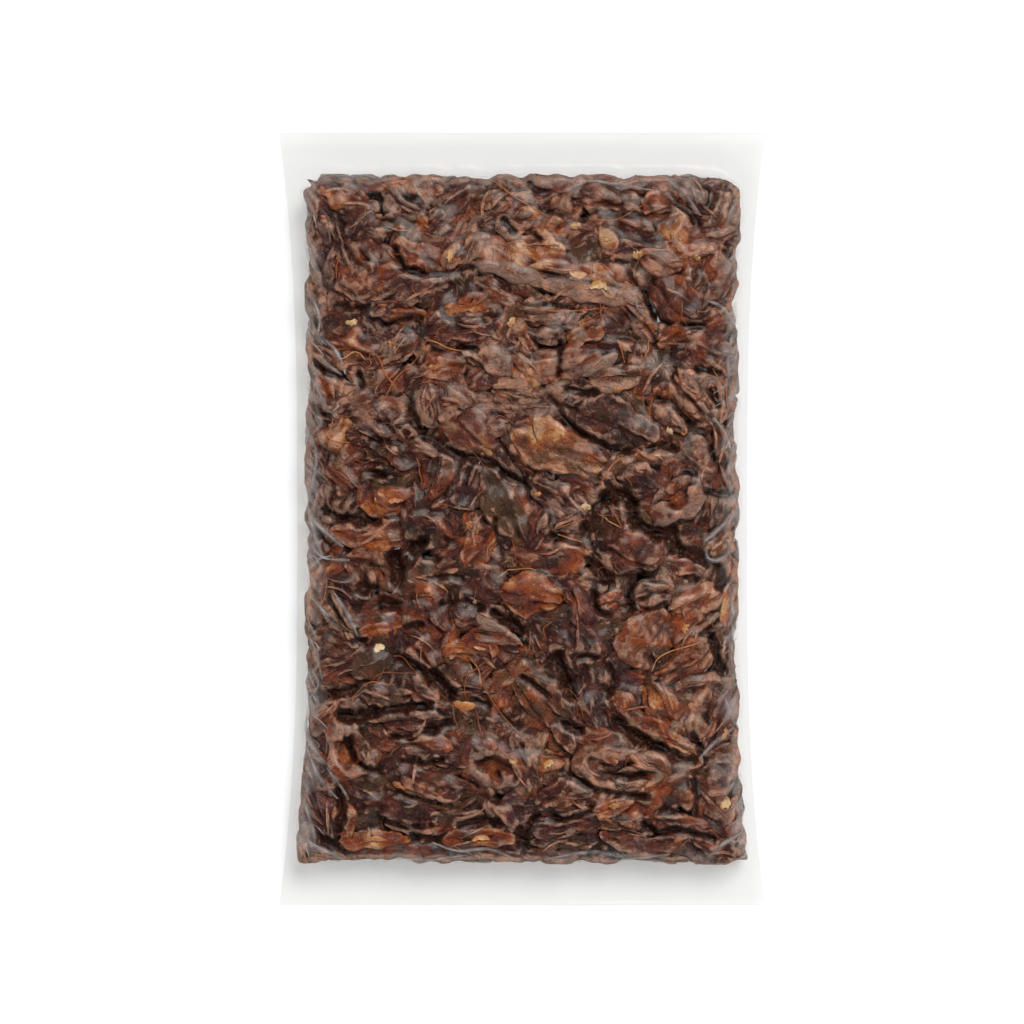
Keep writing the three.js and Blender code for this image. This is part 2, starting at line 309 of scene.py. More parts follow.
def cut_groove(x, y, size):
    """Cut a round pit in the crevice map, a little wider or narrower from place to place."""
    width = size * (0.95 + 0.8 * noise_at(np.array([x]), np.array([y]), 0, 3.0, 90.1)[0])
    columns = np.flatnonzero(np.abs(map_x - x) < 3 * size)
    rows = np.flatnonzero(np.abs(map_y - y) < 3 * size)
    window = np.ix_(columns, rows)
    away = np.hypot(map_x[columns][:, None] - x, map_y[rows][None, :] - y)
    groove = (2.2 + 1.7 * size) * np.exp(-((away / max(width, 0.6)) ** 4))
    crevice_map[window] = np.maximum(crevice_map[window], groove)


for size, corners in read_routes(CREVICES):
    for x, y in smooth_route(corners, 0.5):
        cut_groove(x, y, size)
print("crevices:", len(read_routes(CREVICES)), "deepest", crevice_map.max())

# %% [markdown]
# A peeled tamarind is a string of seeds in sticky pulp, so a fruit's look is told by a few numbers:
# how amber its flesh is, how much greyish bloom and painted sheen it has, how deep it wrinkles, and
# how many seeds bulge in it. `hollow` fruits are broken open, with the hollow that a seed left.

# %% The looks that a fruit can have
LOOKS = {
    "plum": dict(flesh=0.18, bloom=0.30, wrinkle=0.55, lobes=1, patch=0.12, tip=0.75, rim=0.85),
    "raisin": dict(flesh=0.26, bloom=0.32, wrinkle=1.20, lobes=1, patch=0.14, tip=0.95, rim=0.95),
    "brown": dict(flesh=0.38, bloom=0.40, wrinkle=0.85, lobes=2, patch=0.30, tip=0.80, rim=1.00),
    "mauve": dict(flesh=0.30, bloom=0.75, wrinkle=0.75, lobes=2, patch=0.16, tip=1.00, rim=1.20),
    "olive": dict(flesh=0.50, bloom=0.62, wrinkle=0.60, lobes=2, patch=0.30, tip=0.85, rim=1.15),
    "rust": dict(flesh=0.50, bloom=0.28, wrinkle=0.90, lobes=2, patch=0.34, tip=0.90, rim=1.00),
    "amber": dict(flesh=0.66, bloom=0.28, wrinkle=0.75, lobes=2, patch=0.44, tip=0.85, rim=1.05),
    "gold": dict(flesh=0.74, bloom=0.34, wrinkle=0.85, lobes=1, patch=0.34, tip=0.90, rim=1.20),
    "hollow": dict(flesh=0.40, bloom=0.50, wrinkle=0.30, lobes=1, patch=0.20, tip=0.60, rim=0.75),
    "smooth": dict(flesh=0.45, bloom=1.45, wrinkle=0.08, lobes=1, patch=0.06, tip=0.90, rim=0.90),
    "skin": dict(flesh=0.55, bloom=1.35, wrinkle=1.00, lobes=2, patch=0.25, tip=0.80, rim=0.90),
    "deep": dict(flesh=0.12, bloom=0.15, wrinkle=0.90, lobes=2, patch=0.20, tip=0.80, rim=1.00),
}
print("looks:", ", ".join(LOOKS))

# %% [markdown]
# The front layer is a list of fruits, each with its place from the middle of the pouch, its heading,
# half its length and width, its look, and how many millimetres it lies below the film. Later fruits
# overlap earlier ones only where they lie higher.

# %% The front layer, listed
FRONT_LAYER = {
    "top end": """
-58 106 -25 8.5 5.5 amber 0.2 | -37 109 -3 11.5 4.8 amber 0 | -27 110 -25 6 3 plum 1
-16 109 8 9 4 mauve 0 | -68 102 82 7 4.5 mauve 0 | -69 88 87 9 4.5 mauve 0.4 | -53 100 0 7 5 plum 1
-38 103 -30 9.5 5 mauve 0.3 | -23 102 40 9.5 4.4 raisin 0 | -11 105 20 7.5 4 raisin 0.3
-10 100 30 6 4.5 amber 0.8 | -2 96 20 7 4.6 mauve 0.2 | 11 109 -3 10 4.2 rust 0
34 110 0 10 3.4 rust 0.3 | 25 104 -10 8.5 5.4 brown 0 | 45 102 15 6.5 5.4 rust 0.4
54 107 -35 7.5 4.4 mauve 0 | 66 102 80 8 6 brown 0 | 65 94 20 6.5 5 mauve 0.5
50 94 70 6.5 5.4 amber 0.8 | 35 94 -10 8.5 4.8 plum 0.8 | 18 95 0 6 3.6 olive 1.2
10.5 94.5 10 4 3.4 rust 0.4 | 27 91 -60 5.5 3.8 amber 0.5 | 21 88 35 8.5 4.4 plum 0.4
33 87 10 6.5 4.8 mauve 0.8 | -62 94 -60 8 4.8 plum 1.5 | -44 95 10 8 4.5 raisin 1.3
-26 92 -5 9 4.2 rust 1.2 | 56 100 -40 7 4.2 plum 1.6 | 0 103 -15 6 3.6 mauve 1.2
1 110 12 7 3 raisin 0.8 | -66 109 35 7 3.6 mauve 0.6 | -47 110.5 10 7 2.8 brown 0.8
23 111 -2 7 2.6 mauve 0.8 | 46 110 -12 8 2.8 olive 0.6
""",
    "upper third": """
-3 79.6 -16 13 3.2 smooth -1.0 | 22 73.4 -10 17 3.4 smooth -0.8 | -54 81 -58 12 8 brown 0
-35 85 -25 9.5 5 rust 0.2 | -23 85 70 5.5 2.6 gold 0.4 | -16 87 35 7.5 4.5 mauve 0.4
-3 84 -25 12 7 amber 0 | -37 74 25 14.5 5 raisin -0.5 | -17 70 10 9 3.6 amber 0.4
-39 67 -10 9 4 amber 0.6 | -19 63 12 13.5 6.4 raisin -0.5 | -3 64 70 6.5 4.6 brown 0.3
-67 73 100 8.5 4.6 mauve 0 | -48 74 0 6 4.6 olive 0.6 | 5 88 -10 9.5 5.4 amber 0.2
17 80 -8 15.5 5 amber 0.1 | 25 76 -8 10 4.6 gold 0.5 | 36 72 -10 6 3.6 mauve 0
50 72 -40 10 8.6 brown -0.4 | 57 85 15 6 4.6 olive 0.5 | 63 83 80 7 4.6 brown 0
66 74 60 6 4.8 rust 0.4 | 45 84 -15 7.5 4.6 olive 0.6 | 38 65 -50 9 4.8 rust 0
22 61 20 8 4.8 amber 0.6 | 8 69 15 9.5 5.2 raisin 0.8 | 8 62 -5 8.5 4.6 raisin 0.4
49 60 20 6 4.6 brown 0.6 | 61 63 30 9.5 6.4 brown 0.2 | -57 65 10 9 5 plum 1.2
-54 55 -20 10 6.6 rust 0 | -65 51 -50 9 4.8 mauve 0 | -39 55 40 7 3.6 mauve 0
-63 42 -70 7.5 5 brown 0.2 | -66 61 75 7 4 plum 0.8 | -30 74 60 6 4 plum 1.4
27 68 -10 7 4 plum 1.4 | -8 76 -20 7 4 plum 1.6
""",
    "middle, left": """
-53 37 25 8 5.4 plum 0.2 | -43 45 55 7 5.4 brown 0.7 | -28 49 12 10 5.4 olive 0.3
-12 51 -30 10 6.6 plum 0 | -28 38 -70 9 6.5 mauve -0.4 | -18 29 -32 12.5 7.4 amber 0
-2 41 -15 8 5.6 mauve 0.3 | -60 28 60 6.5 4.8 amber 0.2 | -67 25 85 9 4 mauve 0
-44 29 -35 9 4.4 raisin 0 | -51 27 -10 7 4 plum 0.5 | -41 20 -20 10 6 raisin 0
-33 21 -10 5.5 3.6 mauve 0.1 | -59 15 -60 9 6 mauve 0 | -63 6 85 8 5.6 mauve 0.2
-49 7 -60 7.5 4.4 amber 0.2 | -41 6 10 7 4.4 amber 0.5 | -46 13 10 7 4.4 plum 0.6
-28 14 70 9 5.4 brown 0.2 | -18 11 80 8.5 5.4 raisin 0.2 | -6 5 -62 16 6.4 plum 0
-50 -5 -5 12.5 5 amber -0.5 | -30 -4 -30 9 6.6 mauve -0.3 | -17 -2 88 4.6 3.2 gold 0.1
-14 -10 50 8 5 amber 0.3 | -50 -13 2 9 4 mauve 0.3 | -29 -17 15 9 4 olive 0.4
-66 -22 80 12.5 5.6 brown 0 | -56 -23 -30 8 4 plum 0.4 | -59 -32 -58 10.5 5 raisin 0
-46 -35 20 8 5.6 olive 0.3 | -30 -23 0 5 3.2 gold 0.2 | -31 -31 -50 9 6.6 rust 0
-20 -18 -10 9 4.6 plum 0.6 | -10 -21 -20 9 6.4 plum 0.2 | -67 35 80 8 4.4 plum 0.6
-66 -4 88 8 4.2 mauve 0.4 | -38 30 40 7 4 raisin 1.0 | -6 18 -40 9 5 plum 1.2
-52 46 -20 6 4 plum 1.2 | -22 37.5 -10 4.6 4.0 skin -0.7 | -31 35.5 -70 6.5 4.6 skin 0.0
-42.5 55 42 6.5 3.0 skin 0.2 | -11 -41.5 -35 4 2.2 skin -0.4 | -9.5 -33.5 -22 6.5 3 smooth -0.2
-43 -22 80 6 4 deep 2.6 | -38 -11 40 6 4 deep 2.8 | 1 30 -40 6 4 plum 1.6 | -22 2 20 6 4 raisin 1.2
""",
    "middle, right": """
61 45 -10 4.5 2.8 smooth 0 | 49 33 -48 7 2.4 skin 0.2 | 24 50 25 8 2.6 smooth 0.2
1 49 -25 8 4.6 amber 0.2 | 14 51 15 12 6.4 olive -0.3 | 31 46 8 9.5 5 mauve 0.1
29 32 -25 17 8.4 plum -0.6 | 46 34 -42 8.5 3 mauve 0.1 | 41 43 35 5.5 4 rust 0.3
56 40 -55 13 7.4 brown 0 | 60 54 -25 12 6.4 brown 0.2 | 66 40 86 8 4 mauve 0.4
65 20 -72 13 5.4 brown 0 | 56 20 -45 9 6 brown 0.3 | 2 38 0 8 6.4 mauve 0.5
13 23 -18 18 9 amber -0.6 | 44 21 -5 8 4 olive 0.5 | 40 12.5 -5 10 5.6 plum 0.2
50.5 7 30 11 7.4 hollow -0.7 | 11 7 -35 11 5.4 mauve 0.2 | 64 4 70 8 5.6 mauve 0.3
5.5 -4 70 8 5.4 mauve 0.2 | 16 0 5 7 4.6 mauve 0.5 | 9 -12 -4 13 5.6 olive 0.3
36 -11 -10 10 7.6 brown -0.5 | 52 -15 -5 8 4.4 rust 0.2 | 54 -6 10 7 4.4 plum 0.8
64 -9 40 6.5 5 mauve 0.2 | 67 -19 86 8 3.8 rust 0.3 | 68 -28 82 7.5 3.6 amber 0.2
67 -41 86 10.5 4.6 raisin 0 | 43 -25 10 6.5 5.6 mauve 0.1 | 57 -26 22 10 5.4 olive 0.1
40 -38 60 11 8.4 olive -0.3 | 53 -35 60 8 5.6 olive 0.3 | 53 -46 30 11.5 5.8 rust 0
3 -25 -5 10.5 7.2 gold -0.6 | 19 -28 -65 9 5.6 rust 0.2 | 20 -42 -76 10 7 mauve -0.4
28 -27 30 6 4.2 amber 0.5 | 22 -21 0 6 4.6 mauve 0.8 | 6 -40 -60 8 5 plum 1.2
-13 -32 -15 11 5.6 brown 0 | -18 -42 10 8 4.6 gold 0.3 | -9 -40 -15 9 5 brown 0.2
-34 -42 -45 9 6 mauve 0.1 | 25 14 -50 7 5 mauve 0.9 | 35 1 -30 8 5 plum 1.4
22 41 -20 8 4.6 plum 1.4 | 45 -3 20 6 4 deep 1.8 | 30 -50 70 7 4.6 plum 1.2
""",
    "lower third": """
-49 -46 40 8 5.4 plum 0.3 | -68 -47 86 8 4 mauve 0 | -60 -48.5 20 8 3.6 brown 0.3
-45 -57 -5 10 4.2 mauve 0.2 | -62 -63 45 10 3.8 rust 0.1 | -37 -66 -3 15 5.6 raisin -0.5
-31 -57 -30 7 3.6 mauve 0.4 | -10 -67 -10 7 4.6 mauve 0.5 | -56 -75 -62 11 8.2 hollow -0.5
-35 -73 -2 12.5 3.6 olive 0.3 | -29 -78 -10 12 3.6 raisin 0.4 | -28 -86 -15 14 5 mauve -0.3
-9 -80 -30 12 8 hollow -0.4 | 1 -77 -58 9 3.6 mauve 0.3 | -64 -83 -50 11.5 4.6 raisin 0
-67 -94 -62 12.5 5.4 brown 0 | -43 -94 -8 11 4.2 raisin 0 | -32 -91.5 -5 13 2.8 rust 0.5
-21 -97 3 9 3.6 mauve 0.2 | -7 -96 -55 7 4 mauve 0.2 | -35 -100 -5 10 2.8 rust 0.4
-48 -104.5 3 12 3.4 gold -0.3 | -14 -104 3 12 3.4 amber -0.3 | -39 -109 0 15 3.2 brown 0
-71 -106 80 7 3.6 mauve 0 | -13 -109.5 0 14 3 mauve 0.1 | -58 -97 -80 8 4 rust 0.4
-65 -109.5 -15 9 3.4 plum 0 | 7 -62 -50 19 8.4 brown -0.6 | 22 -59 -75 10 5.4 mauve 0
37 -65 -35 13 5.6 olive -0.4 | 45 -60 -50 9 6 amber 0 | 59 -63 75 10 5.8 olive 0.1
66 -64 62 13.5 4.2 brown 0 | 32 -81.5 -8 16.5 8.4 hollow -0.8 | 52.5 -75 -40 8 4.2 gold 0.2
14.5 -91 18 10.5 6.8 raisin -0.6 | 47 -89 12 10.5 5.2 brown 0 | 30 -93 25 7 4.2 olive 0.4
63 -84 10 8 7.6 mauve 0 | 63 -92.5 -40 8 4.8 mauve 0.2 | 50 -99 -8 11 4.2 rust 0
33.5 -99.5 -8 10 3.9 raisin 0 | 13.5 -100 5 11 3.4 raisin 0 | 13 -105 -3 10.5 3.2 raisin 0.1
40 -105 -5 15 3.4 brown 0 | 55 -103 10 6 3 rust 0.3 | 65 -107 -15 10 4.8 rust 0
10 -109.8 2 10 2.8 raisin 0 | 39 -110.5 -1 15.5 2.8 mauve 0 | 69 -97 80 7 3.8 olive 0
69 -75 85 8.5 3.8 mauve 0 | 27.5 -78 -24 3.8 2.0 gold 0.5 | 21 -82.4 -8 4 1.9 mauve 0.3
35.4 -82 4 4.6 1.5 gold 0.5 | 36.6 -86.2 10 6 1.5 mauve 0.4 | 40 -79.4 -20 4 2.0 mauve 0.3
30 -86 -8 5 1.4 raisin 0.6 | 8.5 -79 10 6 4 gold 0.8 | 25 -71 -4 8 3.4 olive 0.6
-18 -61 -20 9 4.6 plum 0.8 | -55 -57 10 7 3.6 plum 1.0 | -20 -52 -30 9 5 mauve 0.5
-4 -52 40 8 4.6 rust 0.6 | 57 -54 10 8 4.4 mauve 0.8 | -52 -85 -20 8 4 plum 1.0
""",
}


Fruit = namedtuple("Fruit", "x y heading half_length half_width below look")


def read_fruit(entry):
    *place, look, below = entry.split()
    return Fruit(*[float(value) for value in place], float(below), look)


front_fruits = [read_fruit(entry) for rows in FRONT_LAYER.values() for entry in table(rows)]
print("front layer:", len(front_fruits), "fruits laid by hand")

# %% [markdown]
# Nobody sees how the fruits of the back layer lie, so they go in loose rows with seeded turns and
# shifts.

# %% The back layer, laid in rows
lay_random = np.random.default_rng(5)
BACK_LOOKS = ["plum", "raisin", "brown", "rust", "mauve", "amber", "olive"]


def lay_rows(columns, rows, length, width, looks):
    """Fruits in rows. Every other row is shifted by half a fruit, as bricks are."""
    room = HALF_BLOCK[:2] - 2
    fruits = []
    for row, column in np.ndindex(rows, columns):
        shift = lay_random.uniform(-0.22, 0.22, 2)
        stagger = 0.5 * (row % 2) - 0.25
        x = (2 * (column + 0.5 + stagger + shift[0]) / columns - 1) * room[0]
        y = (2 * (row + 0.5 + shift[1]) / rows - 1) * room[1]
        x = np.clip(x, 2 - room[0], room[0] - 2)
        heading = lay_random.uniform(-70, 70)
        size = lay_random.uniform(0.85, 1.2, 2)
        look = looks[lay_random.integers(len(looks))]
        fruits.append(Fruit(x, y, heading, length * size[0], width * size[1], 0, look))
    return fruits


back_fruits = lay_rows(8, 14, 13, 8.5, BACK_LOOKS)
print("back layer:", len(back_fruits), "fruits")

# %% [markdown]
# Every fruit is a closed grid of points round a bent axis, swollen over the seeds and drawn in between
# them. A ball pushed about with a brush could look as good, but a grid keeps its rows, so the folds can
# follow the fruit. The side that shows gets most of the points.

# %% The body of a fruit
FRONT_SPACING = 0.62
HIDDEN_SPACING = 1.42
LEAN_TO_LIGHT = 0.55
SEED_SWELL = 0.11
RAGGEDNESS = 0.36
Body = namedtuple("Body", "x y z reach side top girth bend")


def round_power(value, power):
    return np.sign(value) * np.abs(value) ** power


def fruit_body(half_length, half_width, half_height, settings, layer, random):
    spacing = FRONT_SPACING if layer == "front" else HIDDEN_SPACING
    rows = max(9, int(1.9 * half_length / spacing))
    columns = max(12, int(3.1 * half_width / spacing) + 6)
    line = np.linspace(0, pi, rows + 2)[1:-1][:, None]
    share = np.arange(columns)[None, :] / columns
    lean = -LEAN_TO_LIGHT if layer == "back" else LEAN_TO_LIGHT
    turn = 2 * pi * share + lean * np.cos(2 * pi * share)
    reach = 0.5 * (2 * line / pi - 1) - 0.5 * np.cos(line) + 0 * turn
    side = np.cos(turn) + 0 * reach
    top = np.sin(turn) + 0 * reach
    tip = settings["tip"] * random.uniform(0.75, 1.35)
    rim = settings["rim"] * random.uniform(0.85, 1.2)
    lobes = settings["lobes"] if half_length > 7 else 1
    swell = 1 + SEED_SWELL * np.cos(2 * pi * lobes * (reach * 0.5 + random.uniform(0, 1)))
    girth = (1 - reach ** 2) ** (tip / 2) * swell * (1 + random.uniform(-0.28, 0.28) * reach)
    ragged = noise_at(half_length * reach / 4.5, side * 0.8, 0 * side, 1.0, random.uniform(0, 90))
    girth = girth * (1 + RAGGEDNESS * ragged)
    bend = random.uniform(-0.18, 0.18) * half_length
    x = half_length * reach
    y = half_width * girth * round_power(side, 0.95) + bend * (reach ** 2 - 0.4)
    z = half_height * girth * swell * round_power(top, rim)
    return Body(x, y, z, reach, side, top, girth, bend)


sample_body = fruit_body(9, 5, 3, LOOKS["plum"], "front", np.random.default_rng(0))
print("rows and columns of a fruit 18 mm long:", sample_body.x.shape)

# %% [markdown]
# The pulp is never smooth: it dries into lengthwise ridges, creases and lumps, and peeling leaves a
# few deep folds. They are moved points, because the outline and the light show them. The relief says
# how far each point moves outwards.

# %% The relief of a fruit


def tent(value, width):
    """1 along the lines where smooth noise is 0, falling straight to 0 beside them: a crease."""
    return 1 - np.minimum(np.abs(value) / width, 1)


def fruit_relief(body, half_width, wrinkle, shift, random):
    x, y, z = body.x, body.y, body.z
    ring = half_width * (0.35 + 0.55 * body.girth)
    coarse = random.uniform(1.0, 1.7) / (0.45 + 0.55 * wrinkle)
    warp = 0.9 * noise_at(x, y, z, 6.0, shift + 31)
    lines = [x / 12, ring * body.side / 3.4 + warp, ring * body.top / 3.4 + 0 * x]
    lines = np.stack(lines, -1) / coarse
    crest = tent(noise(lines.reshape(-1, 3) + shift).reshape(x.shape), 0.24)
    creases = tent(noise_at(x, y, z, 4.6 * coarse, shift + 7), 0.13)
    lumps = noise_at(x, y, z, 5.5, shift + 17)
    depth = wrinkle * min(1.0, half_width / 5)
    raised = depth * (1.5 * crest - 0.6 - 1.1 * creases) + 1.9 * lumps
    for _ in range(random.integers(1, 4)):
        start = random.uniform(-0.55, 0.55) * half_width * body.girth
        wave = random.uniform(0.5, 1.2) * np.sin(body.reach * pi + random.uniform(0, 6))
        gap = y - start - wave
        fold = 1.6 * np.exp(-((gap / 0.5) ** 2)) - 0.8 * np.exp(-(((gap - 1.2) / 0.6) ** 2))
        raised = raised - depth * fold * np.maximum(body.top, 0)
    return raised, crest, creases


print("across a crease:", tent(np.linspace(-1, 1, 5), 0.8))

# %% [markdown]
# Colour is kept on the points as four tints: how amber the flesh is, how thick the bloom and painted
# sheen lie, how warm the whole fruit is, and how folded its skin. The material reads them. Wrinkle
# crests and the side band where a fruit turns down are painted paler, as painted highlights, and
# creases darker, as painted shade. A broken fruit also has a bowl where a seed sat: amber and moist
# inside, with a dry torn rim.

# %% The tints of a fruit, and the hollow of a broken one
WARMER = {"smooth": -1.8, "amber": 0.5, "hollow": 0.4}


def fruit_tints(body, settings, crest, creases, shift, random):
    x, y, z = body.x, body.y, body.z
    # Painted rim light: the band where the fruit turns down at its side is made paler and more amber.
    # Wrinkle crests get a painted highlight, creases painted shade.
    edge = np.exp(-(((body.top - 0.5) / 0.2) ** 2))
    flesh = settings["flesh"] + settings["patch"] * 2.2 * noise_at(x, y, z, 6.5, shift + 50)
    flesh += 0.16 * (crest - 0.5) * settings["wrinkle"] - 0.12 * creases
    flesh += edge * (0.06 + 0.5 * settings["patch"] * noise_at(x, y, z, 5.0, shift + 61))
    bloom = settings["bloom"] + 0.9 * noise_at(x, y, z, 4.5, shift + 80) + 0.4 * (crest - 0.5)
    bloom += 0.35 * edge + random.normal(0, 0.20)
    return flesh, bloom


def open_hollow(body, sizes, shift, raised, flesh, bloom):
    half_length, half_width, half_height = sizes
    facing = np.maximum(body.top, 0)
    torn = noise_at(body.x, body.y, body.z, 5.0, shift + 211)
    bowl = (body.x / (0.60 * half_length)) ** 2 + (body.y / (0.58 * half_width)) ** 2
    bowl = bowl + 0.4 * raised + 1.5 * torn
    inside = np.clip((1.1 - bowl) / 0.5, 0, 1) * facing
    raised -= 1.3 * half_height * inside
    raised += 0.9 * np.exp(-(((bowl - 1.3) / 0.3) ** 2)) * facing
    flesh += inside * (0.72 - flesh)
    bloom += (1.3 + 2.5 * torn) * np.exp(-(((bowl - 1.35) / 0.35) ** 2)) - 0.9 * inside


print("warmer and cooler looks:", WARMER)

# %% [markdown]
# A fruit is put together in one order: its body, its relief, its tints, and the hollow if it is a
# broken one. The relief is kept apart from the body, so that the film can press the body flat and
# leave the wrinkles standing on it.

# %% One whole fruit


def fruit_surface(sizes, look, layer, random):
    """A fruit's points, the relief that each is moved by, its tints, and its rows and columns."""
    half_length, half_width, _ = sizes
    settings = LOOKS[look]
    body = fruit_body(*sizes, settings, layer, random)
    shift = random.uniform(0, 200, 3)
    raised, crest, creases = fruit_relief(body, half_width, settings["wrinkle"], shift, random)
    flesh, bloom = fruit_tints(body, settings, crest, creases, shift, random)
    if look == "hollow":
        open_hollow(body, sizes, shift, raised, flesh, bloom)
    raised *= np.minimum(1.0, body.girth * 1.4)
    facing = np.maximum(body.top, 0)
    outward = np.stack([0.5 * body.reach ** 3, body.side * (1 - 0.5 * facing), body.top], axis=-1)
    tip = np.array([half_length * 1.01, body.bend * 0.6, 0])
    grid = np.stack([body.x, body.y, body.z], axis=-1).reshape(-1, 3)
    points = np.concatenate([grid, [tip * (-1, 1, 1), tip]])
    relief = np.concatenate([(outward * raised[..., None]).reshape(-1, 3), np.zeros((2, 3))])
    warmth = random.normal(0, 0.7) + 2.6 * noise_at(body.x, body.y, body.z, 6.5, shift + 130)
    warmth += WARMER.get(look, 0)
    tint = np.stack([flesh, bloom, warmth, settings["wrinkle"] + 0 * body.x], axis=-1).reshape(-1, 4)
    return points, relief, np.concatenate([tint, tint[[0, -1]]]), body.x.shape


def grid_faces(rows, columns):
    """Squares between a closed grid's points, and a fan of triangles at each of its two tips."""
    row, column = np.meshgrid(np.arange(rows - 1), np.arange(columns), indexing="ij")
    here = row * columns + column
    beside = row * columns + (column + 1) % columns
    quads = np.stack([here, here + columns, beside + columns, beside], axis=-1).reshape(-1, 4)
    start, finish = rows * columns, rows * columns + 1
    ring = np.arange(columns)
    following = (ring + 1) % columns
    last = (rows - 1) * columns
    first_fan = np.stack([np.full(columns, start), ring, following], axis=-1)
    last_fan = np.stack([np.full(columns, finish), last + following, last + ring], axis=-1)
    return quads, np.concatenate([first_fan, last_fan])


print("faces of a small fruit:", [len(part) for part in grid_faces(9, 12)])

# %% [markdown]
# Some parts of the block are made paler and others darker. Each tone is a soft round patch: a middle,
# a reach and how much bloom and sheen it adds or takes away.

# %% Paler and darker parts of the block
TONES = [
    (-54, 42, 17, 0.42), (-14, 43, 18, 0.42), (4, 42, 14, 0.30), (10, 80, 30, 0.22),
    (-52, 76, 22, 0.20), (58, -20, 26, 0.14), (58, -74, 32, 0.20), (-36, -24, 25, -0.60),
    (-40, -56, 18, -0.34), (16, -18, 14, -0.35), (18, -56, 16, -0.60), (-24, -100, 34, -0.50),
    (50, -96, 16, -0.25), (-50, 19, 15, -0.40), (-22, 17, 17, -0.32), (-24, 61, 15, -0.28),
    (-36, 2, 15, -0.22), (0, 106, 60, 0.14), (12, 24, 12, -0.42), (3, -25, 8, -0.15),
]


def tone_at(x, y):
    return sum(much * np.exp(-((x - at_x) ** 2 + (y - at_y) ** 2) / reach ** 2)
               for at_x, at_y, reach, much in TONES)


print("tone at the middle:", round(float(tone_at(0, 0)), 3))

# %% [markdown]
# A pouch holds its fruit in: nothing may pass its sides, its round corners or its two films. A hard
# limit would shave the fruits off flat, so each limit is a soft one, that bends a fruit as it comes
# near. The block's outline also waves in and out, as the fruits at its edge are of all sizes.

# %% Soft limits
PRESS_SOFTNESS = 0.35
FILM_GAP = 0.2


def ease_under(value, limit, softness):
    """The value, bent so that it comes close to the limit but never passes it."""
    return value - softness * np.logaddexp(0, (value - limit) / softness)


def ease_over(value, limit, softness):
    return value + softness * np.logaddexp(0, (limit - value) / softness)


def kept_inside(places):
    x, y = places.T
    waves = 1.3 + 4.2 * noise_at(x, y, 0 * x, 13.0, 40.2) + 3.0 * noise_at(x, y, 0 * x, 5.5, 60.7)
    limit = np.stack([half_block(y), 0 * y + HALF_BLOCK[1]], -1) + 0.6 - np.clip(waves, 0, 3.6)[:, None]
    kept = np.sign(places) * ease_under(np.abs(places), limit, 0.4)
    radius = np.where(y > 0, 6.0, 2.5)
    beyond = np.maximum(np.abs(kept) - (limit - radius[:, None]), 0)
    distance = np.hypot(*beyond.T)
    pull = np.where((beyond > 0).all(axis=1), np.minimum(1, radius / np.maximum(distance, 1e-6)), 1)
    return kept - np.sign(kept) * beyond * (1 - pull)[:, None]


def keep_between_films(spots):
    spots[:, :2] = kept_inside(spots[:, :2])
    x, y, z = spots.T
    z = ease_under(z, crown_height(x, y, 1.2) - FILM_GAP, 0.15)
    spots[:, 2] = ease_over(z, back_height(x, y, 1.0), 0.3)


print("a point 1 mm past a film is eased to", round(float(ease_under(1.0, 0.0, PRESS_SOFTNESS)), 2))

# %% [markdown]
# The film presses on the top of the block. Points above the crown are eased down to just under it, so
# that pressed fruits are flattened where they touch, and points over a crevice are eased down into it.
# Low hills stay in the crown, because the fruits under it are not all of one height.

# %% Press a fruit
FLATTENED = 0.56
KEPT_ROUND = 0.44
RELIEF_ROOM = 1.2


def hills(x, y):
    return 0.6 + 2.8 * noise_at(x, y, 0 * x, 22.0, 3.3) + 0.8 * noise_at(x, y, 0 * x, 9.0, 8.1)


def press(spots, relief, below):
    """Presses the points under the crown and into the crevices, and says how hard each was pressed."""
    x, y, z = spots.T
    crown = crown_height(x, y, 1.0)
    limit = crown - hills(x, y) - 0.75 * below - RELIEF_ROOM
    pressed = FLATTENED * ease_under(z, limit, PRESS_SOFTNESS) + KEPT_ROUND * z
    contact = np.clip((z - pressed) / 1.5, 0, 1)
    groove = read_map(crevice_map, x, y)
    spots[:, 2] = np.where(groove > 0.05, ease_under(pressed, crown - 0.8 - groove, 0.3), pressed)
    spots += relief * (1 - 0.3 * contact)[:, None]
    return contact


print("hill at the middle:", round(float(hills(*np.zeros((2, 1)))[0]), 2), "mm")

# %% [markdown]
# Laying a fruit turns it to its heading, rolls it a little, and lowers it to the film or to the fruit
# below. Then it is pressed. Its colours are made paler where the film touches it, a painted sheen of
# the film's gloss, and a little paler towards the top end of the block, painted light from that end.

# %% Lay one fruit
Laid = namedtuple("Laid", "layer x y points tint grain rows columns")
TILT_ACROSS, TILT_ALONG = 20, 6
SEED_BASE = 1000


def turned(points, roll, pitch, heading):
    x, y, z = points.T
    y, z = y * cos(roll) - z * sin(roll), y * sin(roll) + z * cos(roll)
    x, z = x * cos(pitch) - z * sin(pitch), x * sin(pitch) + z * cos(pitch)
    x, y = x * cos(heading) - y * sin(heading), x * sin(heading) + y * cos(heading)
    return np.stack([x, y, z], axis=-1)


